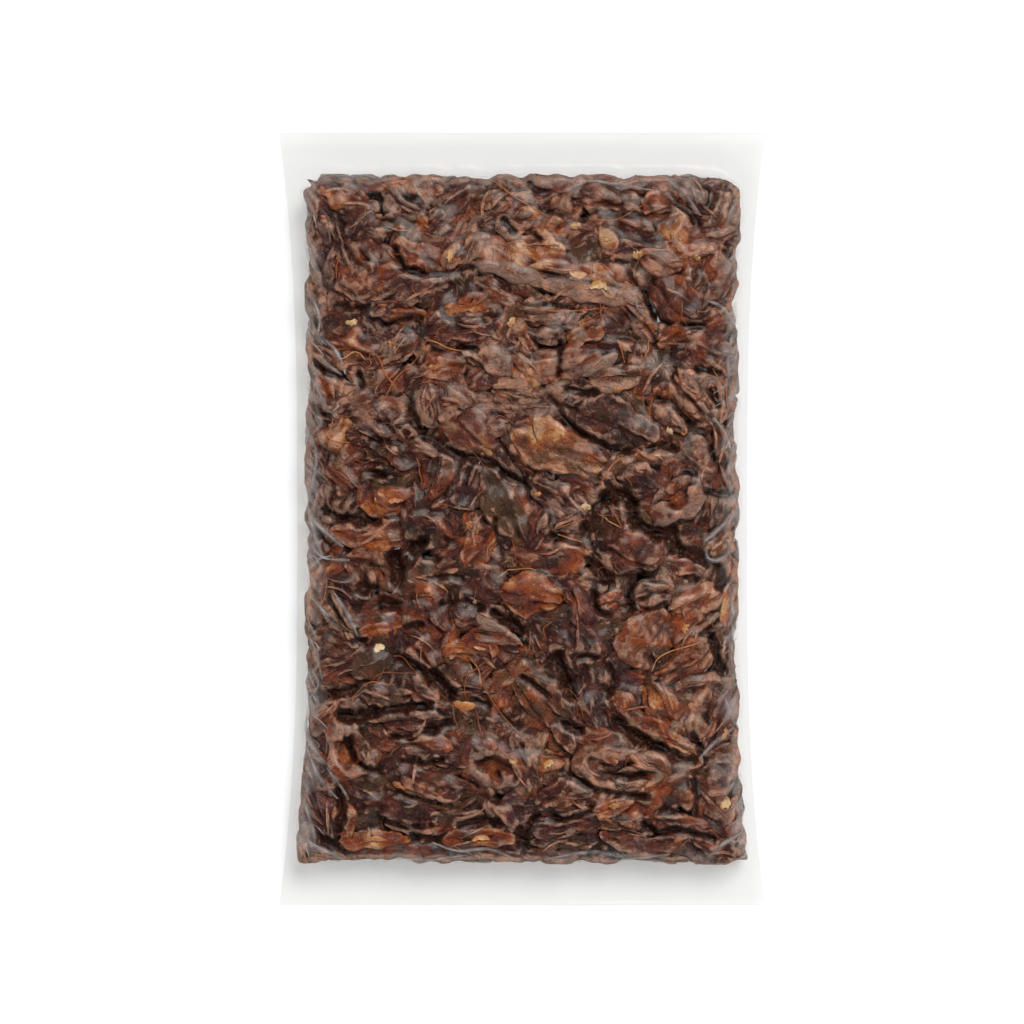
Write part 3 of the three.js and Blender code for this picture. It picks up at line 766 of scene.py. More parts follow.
def lay_fruit(layer, fruit):
    random = np.random.default_rng([
        int(SEED_BASE + 10 * fruit.x), int(2 * SEED_BASE + 10 * fruit.y), int(10 * fruit.half_length)])
    half_height = np.clip(0.62 * fruit.half_width, 2.2, 5.0)
    sizes = (fruit.half_length, fruit.half_width, half_height)
    points, relief, tint, grid = fruit_surface(sizes, fruit.look, layer, random)
    grain = points + relief + random.uniform(0, 500, 3)
    tilt = random.uniform(-1, 1, 2)
    turn = (radians(tilt[0] * TILT_ACROSS), radians(tilt[1] * TILT_ALONG), radians(fruit.heading))
    spots = turned(points, *turn)
    relief = turned(relief, *turn)
    crown = crown_height(np.array([fruit.x]), np.array([fruit.y]), 1.0)[0]
    middle = 0.3 + half_height if layer == "back" else crown + 0.4 - fruit.below - half_height
    spots += (fruit.x, fruit.y, max(middle, 0.4 * half_height))
    contact = press(spots, relief, fruit.below)
    keep_between_films(spots)
    tone = tone_at(spots[:, 0], spots[:, 1])
    tint[:, 0] += 0.15 * tone
    # Painted sheen where the film presses on the fruit, and painted light growing towards the top end.
    tint[:, 1] += 0.25 * contact + tone + 0.05 * fruit.y / HALF_BLOCK[1]
    return Laid(layer, fruit.x, fruit.y, spots, tint, grain, *grid)


print("points of one laid fruit:", len(lay_fruit("front", front_fruits[0]).points))

# %% [markdown]
# Each fruit's own turns and wrinkles come from a seed made of its place, so moving one fruit changes
# no other.

# %% Lay the front and the back
laid = [lay_fruit("front", fruit) for fruit in front_fruits]
laid += [lay_fruit("back", fruit) for fruit in back_fruits]
print("laid", len(laid), "fruits,", sum(len(item.points) for item in laid), "points")

# %% [markdown]
# The films need to know the shape of what they cling to. A map of the highest fruit surface at each
# place is enough for the front film, and one of the lowest for the back film.

# %% Height maps of the block
NOTHING = 0.0
top_map = np.full((len(map_x), len(map_y)), NOTHING)
bottom_map = np.full((len(map_x), len(map_y)), SEAM)


def fill_maps(item):
    """Enter a laid piece in both maps, with points in between where its grid is coarse."""
    grid = item.points[:item.rows * item.columns].reshape(item.rows, item.columns, 3)
    grid = np.concatenate([grid, grid[:, :1]], axis=1)
    parts = (0.0, 0.5) if item.layer in ("front", "flap") else (0.0, 0.34, 0.67)
    for down, over in product(parts, parts):
        near = grid[:-1, :-1] * (1 - over) + grid[:-1, 1:] * over
        far = grid[1:, :-1] * (1 - over) + grid[1:, 1:] * over
        spots = (near * (1 - down) + far * down).reshape(-1, 3)
        column = np.rint((spots[:, 0] - map_x[0]) / MAP_STEP).astype(int)
        row = np.rint((spots[:, 1] - map_y[0]) / MAP_STEP).astype(int)
        np.maximum.at(top_map, (column, row), spots[:, 2])
        np.minimum.at(bottom_map, (column, row), spots[:, 2])


for item in laid:
    fill_maps(item)
in_block = inside_distance(*np.meshgrid(map_x, map_y, indexing="ij")) > 1.6
print("block from", bottom_map.min(), "to", top_map.max())
print("places with no fruit yet:", (in_block & (top_map == NOTHING)).sum())

# %% [markdown]
# Between the front and the back there are more fruits, and they show only down the gaps. So each one
# is dropped where the block is lowest: the height map is read in cells of a few millimetres, the
# deepest cell gets a dark fruit, and the map is filled in before the next one is dropped.

# %% Find the deepest gap
GAP_CELL = 5
CELLS = np.array(top_map.shape) // GAP_CELL
visits = np.zeros(CELLS)
for fruit in front_fruits:
    if fruit.look == "hollow":
        column, row = ((HALF_POUCH + (fruit.x, fruit.y)) / (GAP_CELL * MAP_STEP)).astype(int)
        visits[column - 1:column + 2, row - 1:row + 2] += 5
cell_x, cell_y = np.meshgrid(
    map_x[0] + (np.arange(CELLS[0]) + 0.5) * GAP_CELL * MAP_STEP,
    map_y[0] + (np.arange(CELLS[1]) + 0.5) * GAP_CELL * MAP_STEP, indexing="ij")
cell_crown = crown_height(cell_x, cell_y, 1.0)
cell_crevice = read_map(crevice_map, cell_x, cell_y)
outer_cells = inside_distance(cell_x, cell_y) < 0.8


def deepest_place(random):
    """The cell where a fruit is needed most. A cell that has had one is passed over for a while."""
    cells = top_map[:CELLS[0] * GAP_CELL, :CELLS[1] * GAP_CELL]
    cells = cells.reshape(CELLS[0], GAP_CELL, CELLS[1], GAP_CELL)
    empty = (cells == NOTHING).mean(axis=(1, 3))
    cells = np.maximum(0.5 * cells.mean(axis=(1, 3)) + 0.5 * cells.min(axis=(1, 3)), 4.0)
    depth = cell_crown - cells - 1.3 * cell_crevice
    depth += np.where(empty > 0, 8 + 6 * empty - 6 * visits, -9 * visits)
    depth[outer_cells] = 0
    place = np.unravel_index(np.argmax(depth), depth.shape)
    visits[place] += 1
    x, y = cell_x[place] + random.uniform(-1, 1), cell_y[place] + random.uniform(-1, 1)
    return x, y, depth[place]


print("cells:", len(cell_x), "by", len(cell_y[0]))

# %% [markdown]
# The fruits in the gaps are small and mostly dark. The deeper its gap, the lower such a fruit is laid.

# %% Fill the gaps
GAP_FRUITS = 372
GAP_LOOKS = ["plum", "raisin", "brown", "deep", "mauve", "rust"]
GAP_LENGTH, GAP_WIDTH = 8.0, 4.8
gap_random = np.random.default_rng(23)
for _ in range(GAP_FRUITS):
    x, y, depth = deepest_place(gap_random)
    size = gap_random.uniform(0.85, 1.25)
    look = GAP_LOOKS[gap_random.integers(len(GAP_LOOKS))]
    below = min(2.0, 0.3 * depth - 0.4) if depth < 9 else 1.4
    heading = gap_random.uniform(-90, 90)
    fruit = Fruit(x, y, heading, GAP_LENGTH * size, GAP_WIDTH * size, below, look)
    laid.append(lay_fruit("middle", fruit))
    fill_maps(laid[-1])
print("gap fruits:", GAP_FRUITS, "deepest gap left:", depth)
print("places with no fruit now:", (in_block & (top_map == NOTHING)).sum())

# %% [markdown]
# The vacuum also squeezes the soft pulp up into what is left of the gaps. Each point near the top of
# a gap is lifted part of the way to the fruits round it, less where a crevice should stay open.
# Lifting points is cheaper than a soft body simulation, and keeps the fruits where they were laid.

# %% Squeeze the pulp into the gaps
SQUEEZE = 0.6


def widest(field, rounds=1):
    """The map with each place raised to its highest neighbour, so that high parts grow wider."""
    for _ in range(rounds):
        moved = [np.roll(field, step, axis) for axis, step in product((0, 1), (-1, 0, 1))]
        field = np.maximum.reduce(moved)
    return field


grid_x, grid_y = np.meshgrid(map_x, map_y, indexing="ij")
around = np.minimum(blur(widest(top_map, 4), 0.9), crown_height(grid_x, grid_y, 1.0))
surface = blur(top_map, 0.9)
gap_map = np.clip(around - surface - 1.0 - 1.3 * crevice_map, 0, 6)
gap_map *= np.clip((inside_distance(grid_x, grid_y) - 2) / 4, 0, 1)
for item in laid:
    x, y, z = item.points.T
    near_top = np.clip((z - read_map(surface, x, y) + 2.4) / 1.2, 0, 1)
    item.points[:, 2] += SQUEEZE * read_map(gap_map, x, y) * near_top
top_map[:] = NOTHING
for item in laid:
    fill_maps(item)
print("mean gap filled:", round(float(gap_map[in_block].mean()), 2), "mm")

# %% [markdown]
# Three maps are made from the finished top. The ceiling is the highest fruit within two millimetres,
# so the distance below it says how deep in a crevice a point lies, for painted shade. The mean of the
# surroundings tells which points stand higher than those round them, for a painted highlight. The fine
# one is the ground for small pieces.

# %% Smoothed maps of the top
ceiling_map = blur(widest(top_map, 3), 0.7)
mean_top = blur(top_map, 1.3)
fine_top = blur(top_map, 0.7)
print("mean height of the top:", round(float(mean_top[in_block].mean()), 2), "mm")

# %% [markdown]
# Peeling tears the pulp, and its skin stands up in small folds and flaps. Each flap is a thin leaf
# that lies on the fine map, with one long edge curled up a little, so it catches the light and
# throws a thin shadow.

# %% One torn flap
FLAP_ROWS = 12
FLAP_COLUMNS = 8
FLAP_THICKNESS = 0.30
FLAP_GAP = 0.12


def lay_flap(x, y, heading, half_length, half_width, tint, torn, random):
    along = np.linspace(0, pi, FLAP_ROWS + 2)[1:-1][:, None]
    turn = 2 * pi * np.arange(FLAP_COLUMNS)[None, :] / FLAP_COLUMNS + 0 * along
    reach = -np.cos(along) + 0 * turn
    girth = np.sin(along) ** random.uniform(0.8, 1.4)
    bend = random.uniform(-0.35, 0.35) * half_length
    ragged = 1 + torn * noise_at(reach * 2.4, np.cos(turn), np.sin(turn), 1.0, random.uniform(0, 90))
    local_y = half_width * girth * np.cos(turn) * ragged + bend * (reach ** 2 - 0.4)
    spots = np.stack([half_length * reach, local_y, 0 * turn], axis=-1).reshape(-1, 3)
    tips = np.array([[-half_length, bend * 0.6, 0], [half_length, bend * 0.6, 0]])
    spots = turned(np.concatenate([spots, tips]), 0, 0, radians(heading)) + (x, y, 0)
    edge = np.cos(turn) * random.choice([-1, 1])
    lift = random.uniform(0.3, 1.0) * np.maximum(edge, 0) ** 2 * girth
    height = FLAP_THICKNESS * girth * np.sin(turn) + lift + FLAP_GAP
    spots[:, :2] = kept_inside(spots[:, :2])
    ground = read_map(fine_top, spots[:, 0], spots[:, 1])
    crown = crown_height(spots[:, 0], spots[:, 1], 1.2)
    spots[:, 2] = np.minimum(ground + np.append(height, [0, 0]), crown - 0.15)
    grain = spots + random.uniform(0, 500, 3)
    tints = np.tile(np.array(tint, dtype=float), (len(spots), 1))
    # Painted highlight: the curled-up edge is painted paler, with more flesh and more bloom and sheen.
    tints[:, :2] += 0.3 * np.append(lift, [0, 0])[:, None]
    return Laid("flap", x, y, spots, tints, grain, FLAP_ROWS, FLAP_COLUMNS)


print("points of a flap:", FLAP_ROWS * FLAP_COLUMNS + 2)

# %% [markdown]
# A fruit has none, one or two flaps. They run roughly along the fruit that they belong to, and their
# flesh is close to its own, with more bloom.

# %% Torn flaps on the front fruits
flap_random = np.random.default_rng(8)
flaps = []
for fruit in front_fruits:
    heading = fruit.heading
    settings = LOOKS[fruit.look]
    for _ in range(flap_random.integers(0, 3)):
        along = flap_random.uniform(-0.6, 0.6) * fruit.half_length
        across = flap_random.uniform(-0.8, 0.8) * fruit.half_width
        turn = radians(heading)
        x = fruit.x + along * cos(turn) - across * sin(turn)
        y = fruit.y + along * sin(turn) + across * cos(turn)
        size = (flap_random.uniform(2.0, 6.0), flap_random.uniform(0.22, 0.6))
        tint = (settings["flesh"] + flap_random.uniform(-0.1, 0.15), flap_random.uniform(0.4, 1.2),
                flap_random.normal(0, 0.5), settings["wrinkle"])
        heading += flap_random.normal(0, 22)
        flaps.append(lay_flap(x, y, heading, *size, tint, 0.7, flap_random))
for item in flaps:
    fill_maps(item)
laid += flaps
print("flaps:", len(flaps))

# %% [markdown]
# Strings and creases are both thin tubes that follow a route over the block. A curve with a bevel could
# make them, but a tube made here knows its own points, and can be pressed flat for a fold.

# %% Tubes along routes


def tube(route, radius, sides=6):
    """A closed tube round a route, thinner towards both ends."""
    along = np.gradient(route, axis=0)
    along /= np.linalg.norm(along, axis=1, keepdims=True)
    across = np.stack([-along[:, 1], along[:, 0], 0 * along[:, 0]], axis=-1)
    across /= np.linalg.norm(across, axis=1, keepdims=True) + 1e-9
    upward = np.cross(along, across)
    share = np.linspace(0, 1, len(route))
    size = radius * (0.35 + 0.65 * np.sin(pi * np.clip(share, 0.04, 0.96)) ** 0.5)
    turn = (2 * pi * np.arange(sides) / sides)[None, :, None]
    ring = across[:, None] * np.cos(turn) + upward[:, None] * np.sin(turn)
    points = (route[:, None] + ring * size[:, None, None]).reshape(-1, 3)
    return np.concatenate([points, route[[0, -1]]]), len(route), sides


def on_ground(route, ground, height):
    """The route, moved to a height above a map."""
    z = read_map(ground, route[:, 0], route[:, 1]) + height
    return np.column_stack([route[:, :2], z])


def hair_corners(random):
    """The corners of a short string that wanders from a place on the block."""
    corners = [random.uniform(-0.93, 0.93, 2) * HALF_BLOCK]
    heading = random.uniform(0, 2 * pi)
    for _ in range(3):
        heading += random.normal(0, 0.45)
        reach = random.uniform(1.2, 4.0)
        corners.append(corners[-1] + reach * np.array([cos(heading), sin(heading)]))
    return np.array(corners)


print("a route on the ground:", on_ground(np.zeros((2, 2)), fine_top, 0.25).shape)

# %% [markdown]
# Strings run the length of a tamarind, and peeling leaves many behind. The long ones are listed,
# each a few points that a smooth curve passes through. Short hair-thin ones are strewn.

# %% Strings
LONG_STRINGS = """
-9 110, -4 106, 3 101.5, 7 99 | -6 105, 2 110.5 | 38 86, 47 88 | 22 97, 29 97, 40 102
33 90, 38 86, 36 81 | 0 69, 11.5 67.5, 28 68.5 | 57.5 67.5, 62.5 68, 67 65 | -31 58, -17 53.5
-31 58, -34 52, -41 46, -44 40, -47 34 | -47.5 53.5, -41.5 42 | -48.5 54, -51 47
-60 52, -53.5 54, -51 52 | -34.5 20, -33 15, -33 11 | -61.5 33, -62.5 26, -56 25
30 20, 33 21, 29 17, 25 11.5 | 41.5 58.5, 40 52 | 31 58.5, 33.5 50.5 | 25 1.5, 32 -3
28 4.5, 32.5 -2.5 | 10 -3.5, 20 0 | 11.5 -5, 19.5 -7.5 | 42 -49.5, 45 -44.5, 57.5 -40
-42 -44.5, -38.5 -45.5, -31 -53.5 | -17.5 -44.5, -14.5 -48.5, -13 -54.5
-20.5 -52, -15 -48.5, -11 -46 | -49.5 -54, -45 -50, -38.5 -50, -32.5 -50.5
-56 -58.5, -51 -54, -46 -53, -41.5 -53.5 | -34.5 -51, -30 -55, -24.5 -59
-14 -51, -11.5 -56, -6 -64.5, 2.5 -72.5 | -23 -60, -21 -68.5 | -15 -62, -13 -71
62 49, 66 43, 67 36 | -8 -19, -3 -16, 4 -17
"""
HAIR_COUNT = 110
string_random = np.random.default_rng(31)


strings = []
for entry in table(LONG_STRINGS):
    route = smooth_route(read_corners(entry))
    route += 0.35 * string_random.normal(size=2) * np.sin(np.linspace(0, 9, len(route)))[:, None]
    tone = string_random.uniform(0.3, 0.72)
    strings.append((on_ground(route, fine_top, 0.25), string_random.uniform(0.2, 0.34), tone))
for _ in range(HAIR_COUNT):
    route = kept_inside(smooth_route(hair_corners(string_random)))
    tone = string_random.uniform(0.0, 0.6)
    strings.append((on_ground(route, fine_top, 0.05), string_random.uniform(0.11, 0.2), tone))
print("strings:", len(strings))

# %% [markdown]
# A few crumbs of shell and of the pale skin round the seeds are left too. They are small thin
# leaves laid like the flaps, in tan and cream.

# %% Flakes
FLAKES = """
-55.5 64 10 2.4 1.2 0.8 | -46.5 -41.8 20 2.3 1.5 0.95 | -15.4 -27 0 0.8 0.7 1.0
37.6 85.9 20 2.2 1.5 0.8 | -19 -60.6 -8 4.6 1.9 0.6 | 66 -92.5 60 2.6 1.6 0.85
47.9 28.6 -50 1.8 0.9 0.95 | 31 41.9 0 1.6 0.9 0.65 | 43.3 41.9 60 1.5 0.9 0.6
20.7 4 -10 2.2 1.2 0.85 | 55 47.5 30 1.4 0.9 0.6 | -42.5 56.8 40 1.4 0.9 0.6 | 5 8 10 1.6 0.8 0.65
-3.3 63.9 60 2.2 1.2 0.75 | 24.8 75.6 -8 3.4 1.6 0.8 | 18 79.5 -12 3.6 1.3 0.7
-23.4 85.5 85 2.6 1.0 0.8 | 17.6 95.3 10 2.2 1.0 0.75 | 8.5 -79.5 40 2.4 1.2 0.75
-3 -79 -60 2.0 0.9 0.8 | 30 -93 20 2.4 1.1 0.7 | 56.6 84.8 -20 1.8 0.9 0.75
-28.4 49.5 10 2.6 1.0 0.6 | 53 -35.4 60 2.0 1.1 0.65 | 43.8 20.9 -10 1.8 0.8 0.7
-41.5 6 0 2.4 1.0 0.6 | -48 -104.2 4 4.6 1.0 0.65 | -13.5 -103.8 5 3.6 0.9 0.7
-40 -86.5 -30 3.0 0.9 0.6 | 66 -70 70 2.6 1.0 0.65 | -30.5 -22.9 10 1.6 1.1 0.6
-17 -2 80 1.8 1.2 0.55
"""
FLAKE_SHRINK = 0.85
flakes = []
for entry in table(FLAKES):
    x, y, heading, length, width, tone = [float(value) for value in entry.split()]
    size = (FLAKE_SHRINK * length, FLAKE_SHRINK * width)
    flakes.append(lay_flap(x, y, heading, *size, (tone, 0.2, 0, 0), 1.8, flap_random))
print("flakes:", len(flakes))

# %% [markdown]
# Shader maths reads best as Python expressions, so one small class wraps a socket and gives it the
# arithmetic that is used here.

# %% A socket that can be reckoned with


class Value:
    def __init__(self, nodes, socket):
        self.nodes = nodes
        self.socket = socket

    def math(self, operation, *others):
        inputs = dict(enumerate((self, *others)))
        return self.nodes.add("ShaderNodeMath", dict(operation=operation), inputs)

    def __add__(self, other):
        return self.math("ADD", other)

    def __sub__(self, other):
        return self.math("SUBTRACT", other)

    def __rsub__(self, other):
        return (self * -1.0) + other

    def __mul__(self, other):
        return self.math("MULTIPLY", other)

    __radd__ = __add__
    __rmul__ = __mul__

    def crease(self, width):
        """1 along the lines where this value is 0, falling straight to 0 beside them."""
        return 1 - (self.math("ABSOLUTE") * (1 / width)).math("MINIMUM", 1.0)

    def clamp(self):
        return self.nodes.add("ShaderNodeClamp", {}, {"Value": self})


print("a value knows:", ", ".join(name for name in vars(Value) if not name.startswith("_")))

# %% [markdown]
# `Nodes.add` makes any node: its settings first, then its sockets, each given a value or a link. A
# colour is written as it is seen on a screen, and turned into the linear light that shaders work in.

# %% A tree of nodes


class Nodes:
    def __init__(self, owner):
        owner.use_nodes = True
        self.owner = owner
        self.tree = owner.node_tree
        self.tree.nodes.clear()

    def add(self, kind, settings, inputs, output=0):
        """A node, and the output of it that the maths goes on with."""
        node = self.tree.nodes.new(kind)
        for name, value in settings.items():
            if name == "stops":
                self.set_stops(node.color_ramp, value)
            else:
                setattr(node, name, value)
        for name, value in inputs.items():
            if isinstance(value, Value):
                self.tree.links.new(value.socket, node.inputs[name])
            else:
                node.inputs[name].default_value = value
        return Value(self, node.outputs[output])

    def set_stops(self, ramp, stops):
        while len(ramp.elements) < len(stops):
            ramp.elements.new(1.0)
        for element, (position, tint) in zip(ramp.elements, stops):
            element.position = position
            element.color = tint

    def attribute(self, name):
        """A number that is kept on the mesh's points."""
        return self.add("ShaderNodeAttribute", dict(attribute_name=name), {}, output=2)

    def direction(self, name):
        """Three numbers that are kept on the mesh's points."""
        return self.add("ShaderNodeAttribute", dict(attribute_name=name), {}, output=1)

    def noise(self, place, scale, detail):
        return self.add("ShaderNodeTexNoise", {}, {"Vector": place, "Scale": scale, "Detail": detail})

    def mix(self, factor, first, second):
        return self.add("ShaderNodeMix", dict(data_type="RGBA"), {
            "Factor": factor, 6: first, 7: second}, output=2)

    def mix_shader(self, factor, first, second):
        return self.add("ShaderNodeMixShader", {}, {0: factor, 1: first, 2: second})

    def finish(self, shader, kind="ShaderNodeOutputMaterial"):
        output = self.tree.nodes.new(kind)
        self.tree.links.new(shader.socket, output.inputs["Surface"])
        return self.owner


def colour(red, green, blue):
    """A colour as seen on a screen, from 0 to 255, in the linear light that Blender works in."""
    parts = [part / 255 for part in (red, green, blue)]
    linear = [p / 12.92 if p <= 0.04045 else ((p + 0.055) / 1.055) ** 2.4 for p in parts]
    return (*linear, 1.0)


print("a mid grey in linear light:", round(colour(128, 128, 128)[0], 3))

# %% [markdown]
# Tamarind pulp runs from plum-black through red-brown to amber, and its dry skin has a greyish pink
# bloom. The same pale colours are also laid on as painted sheen and highlights. The numbers on its
# points, for flesh, for bloom and sheen, and for painted shade, say where each lies, and noise that
# follows the fruit's grain breaks them up.

# %% The colours of the pulp
FLESH_STOPS = [
    (0.00, colour(42, 16, 9)), (0.16, colour(70, 28, 18)), (0.34, colour(106, 51, 33)),
    (0.52, colour(134, 59, 31)), (0.70, colour(164, 82, 38)), (0.86, colour(188, 109, 54)),
    (1.00, colour(216, 160, 108)),
]
# The pale colours of the dry bloom, also used for painted sheen and highlights.
BLOOM_AND_SHEEN = colour(220, 165, 136)
GREY_BLOOM_AND_SHEEN = colour(164, 132, 112)
PLUM_TINT = colour(78, 44, 46)
OLIVE_TINT = colour(128, 98, 66)
# The colour of painted shade in crevices and gaps.
PAINTED_SHADE_COLOUR = colour(60, 26, 12)
print("steps of flesh:", len(FLESH_STOPS))

# %% [markdown]
# Folds, facets and cracks too fine for the mesh are a bump. They are read at the curled grain, so that
# they bend. Their crests, facets and ridges are also painted paler, as painted highlights. The gloss is
# that of moist pulp under film.

# %% The pulp


def pulp_relief(nodes, bent):
    """Folds, facets and cracks, and the lines along their tops."""
    folds = nodes.noise(bent, 0.24, 1.0)
    crest = (folds - 0.5).crease(0.055)
    facets = nodes.add("ShaderNodeTexVoronoi", {}, {"Vector": bent, "Scale": 0.36}, output=1)
    facet = nodes.add("ShaderNodeSeparateXYZ", {}, {0: facets}, output=0) - 0.5
    cracks = nodes.add("ShaderNodeTexVoronoi", dict(feature="DISTANCE_TO_EDGE"), {
        "Vector": bent, "Scale": 0.36})
    ridges = (1 - (cracks * 6.0).math("MINIMUM", 1.0)) * ((folds - 0.40) * 4.0).clamp()
    crinkle = (nodes.noise(bent, 0.55, 0.0) - 0.5).crease(0.07)
    height = crest * nodes.attribute("folded") * 0.6 + facet * 0.5 + ridges * 0.5 + crinkle * 0.35
    return height, crest, facet, ridges


def pulp_material():
    nodes = Nodes(bpy.data.materials.new("tamarind_pulp"))
    grain, bent = nodes.direction("grain"), nodes.direction("bent")
    warmth = nodes.attribute("warmth")
    height, crest, facet, ridges = pulp_relief(nodes, bent)
    patches = nodes.noise(grain, 0.2, 2.0)
    blotches = nodes.noise(bent, 0.30, 2.0)
    speckle = nodes.noise(grain, 0.7, 2.0)
    flesh = nodes.attribute("flesh") + (patches - 0.5) * 0.65 + (speckle - 0.5) * 0.3 + facet * 0.14
    base = nodes.add("ShaderNodeValToRGB", dict(stops=FLESH_STOPS), {0: flesh})
    base = nodes.mix((warmth * -0.5).clamp() * 0.7, base, PLUM_TINT)
    base = nodes.mix((warmth * 0.5).clamp() * 0.4, base, OLIVE_TINT)
    # Painted highlights: crests, facets, ridges and points standing higher than their surroundings get
    # more of the pale bloom and sheen colour.
    skin = nodes.attribute("bloom") + (blotches - 0.5) * 2.6 + facet * 0.75 + crest * 0.25
    skin = (skin + nodes.attribute("proud") * 1.5 - 1.0 + ridges * 0.5).clamp()
    bloom_and_sheen_colour = nodes.mix(((patches - 0.42) * 5.0 + warmth * 0.3).clamp(), GREY_BLOOM_AND_SHEEN, BLOOM_AND_SHEEN)
    base = nodes.mix(skin * 0.64, base, bloom_and_sheen_colour)
    # Painted shade: the colour is darkened where a point lies deep below the fruits round it or in a
    # listed crevice.
    base = nodes.mix(nodes.attribute("shade") * 0.92, base, PAINTED_SHADE_COLOUR)
    bumps = nodes.add("ShaderNodeBump", {}, {"Strength": 1.0, "Distance": 0.0006, "Height": height})
    return nodes.finish(nodes.add("ShaderNodeBsdfPrincipled", {}, {
        "Base Color": base, "Roughness": 0.36 + skin * 0.12 + (blotches - 0.5) * 0.25,
        "Normal": bumps, "Specular IOR Level": 0.24}))


pulp = pulp_material()
print("pulp:", len(pulp.node_tree.nodes), "nodes")

# %% [markdown]
# Strings, shell and the dry skin round a seed are the same fibre in other tones: red-brown when fresh,
# tan when dry, and cream where they are thin.

# %% Strings and shell
HUSK_STOPS = [
    (0.0, colour(74, 36, 22)), (0.4, colour(132, 70, 34)), (0.62, colour(178, 104, 48)),
    (0.8, colour(196, 146, 88)), (1.0, colour(224, 196, 150)),
]


def husk_material():
    nodes = Nodes(bpy.data.materials.new("husk_and_string"))
    fleck = nodes.noise(nodes.direction("grain"), 0.9, 3.0)
    tone = nodes.attribute("flesh") + (fleck - 0.5) * 0.5
    base = nodes.add("ShaderNodeValToRGB", dict(stops=HUSK_STOPS), {0: tone})
    bumps = nodes.add("ShaderNodeBump", {}, {"Strength": 0.6, "Distance": 0.0004, "Height": fleck})
    return nodes.finish(nodes.add("ShaderNodeBsdfPrincipled", {}, {
        "Base Color": base, "Roughness": 0.45 + (fleck - 0.5) * 0.3, "Normal": bumps}))


husk = husk_material()
print("husk:", len(husk.node_tree.nodes), "nodes")

# %% [markdown]
# Each packed clump is replaced by the fruits that lie in its place, joined in one mesh, so that a
# clump can still be picked out of the block. Meshes are filled from whole arrays, which is far
# quicker in Python than adding points one at a time.

# %% Make a mesh from arrays


def mesh_object(name, points, faces, material, floats=None, vectors=None):
    mesh = bpy.data.meshes.new(name)
    loops = np.concatenate([part.ravel() for part in faces])
    sizes = np.concatenate([np.full(len(part), part.shape[1]) for part in faces])
    mesh.vertices.add(len(points))
    mesh.vertices.foreach_set("co", (points * MM).astype(np.float32).ravel())
    mesh.loops.add(len(loops))
    mesh.loops.foreach_set("vertex_index", loops.astype(np.int32))
    mesh.polygons.add(len(sizes))
    mesh.polygons.foreach_set("loop_start", (np.cumsum(sizes) - sizes).astype(np.int32))
    mesh.polygons.foreach_set("use_smooth", np.ones(len(sizes), dtype=bool))
    mesh.update(calc_edges=True)
    mesh.validate()
    for label, values in (floats or {}).items():
        layer = mesh.attributes.new(label, "FLOAT", "POINT")
        layer.data.foreach_set("value", np.asarray(values, dtype=np.float32))
    for label, values in (vectors or {}).items():
        layer = mesh.attributes.new(label, "FLOAT_VECTOR", "POINT")
        layer.data.foreach_set("vector", np.asarray(values, dtype=np.float32).ravel())
    mesh.materials.append(material)
    made = bpy.data.objects.new(name, mesh)
    bpy.context.scene.collection.objects.link(made)
    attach(made, "root")
    return made


def joined(parts):
    """Closed grids, each with its points, rows and columns, as the points and faces of one mesh."""
    starts = np.cumsum([0] + [len(points) for points, _, _ in parts])
    faces = [grid_faces(rows, columns) for _, rows, columns in parts]
    quads = np.concatenate([four + start for (four, _), start in zip(faces, starts)])
    triangles = np.concatenate([three + start for (_, three), start in zip(faces, starts)])
    return np.concatenate([points for points, _, _ in parts]), [quads, triangles]


print("clumps to fill:", len(FRONT_NODES) + len(BACK_NODES))

# %% [markdown]
# A fruit belongs to the clump whose middle is nearest. Points deep in a crevice, and along the listed
# crevices, are darkened as painted shade, and points that stand higher than the fruits round them are
# made paler as a painted highlight.

# %% Build the clumps


def painted_shade_of(points):
    # Painted shade: the deeper below the highest fruit nearby, and the nearer a listed crevice, the
    # darker.
    depth = read_map(ceiling_map, points[:, 0], points[:, 1]) - points[:, 2]
    crevice = np.clip(read_map(crevice_map, points[:, 0], points[:, 1]) / 2.4, 0, 1)
    return np.clip(np.clip((depth - 0.8) / 2.8, 0, 1) ** 1.2 + 0.75 * crevice ** 1.5, 0, 1)


def painted_highlight_of(points):
    # Painted highlight: the higher a point stands above the mean round it, the paler it is painted.
    return np.clip((points[:, 2] - read_map(mean_top, points[:, 0], points[:, 1])) / 0.7, 0, 1)


def curled(grain):
    """The grain, stretched along the fruit and pushed about by slow noise, so that cracks curl."""
    pushes = [noise(grain * 0.35 + shift) for shift in (0.0, 31.7, 67.3)]
    return grain * (0.6, 1.0, 1.0) + 3.9 * np.stack(pushes, axis=-1)


def build_clump(name, node, items):
    points, faces = joined([(item.points, item.rows, item.columns) for item in items])
    tints = np.concatenate([item.tint for item in items])
    grain = np.concatenate([item.grain for item in items])
    floats = dict(zip(("flesh", "bloom", "warmth", "folded"), tints.T))
    floats.update(shade=painted_shade_of(points), proud=painted_highlight_of(points))
    made = mesh_object(name, points, faces, pulp, floats, dict(grain=grain, bent=curled(grain)))
    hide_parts(node)


def build_clumps(nodes, members, prefix):
    middles = np.array([(box_mm(node)[0] + box_mm(node)[1])[:2] / 2 for node in nodes])
    homes = {node: [] for node in nodes}
    for item in members:
        nearest = np.argmin(np.hypot(middles[:, 0] - item.x, middles[:, 1] - item.y))
        homes[nodes[nearest]].append(item)
    for node, items in homes.items():
        build_clump(prefix + node[-2:], node, items)
    print(prefix, "fruits per clump:", [len(items) for items in homes.values()])


build_clumps(FRONT_NODES, [item for item in laid if item.layer != "back"], "front_clump_")
build_clumps(BACK_NODES, [item for item in laid if item.layer == "back"], "back_clump_")

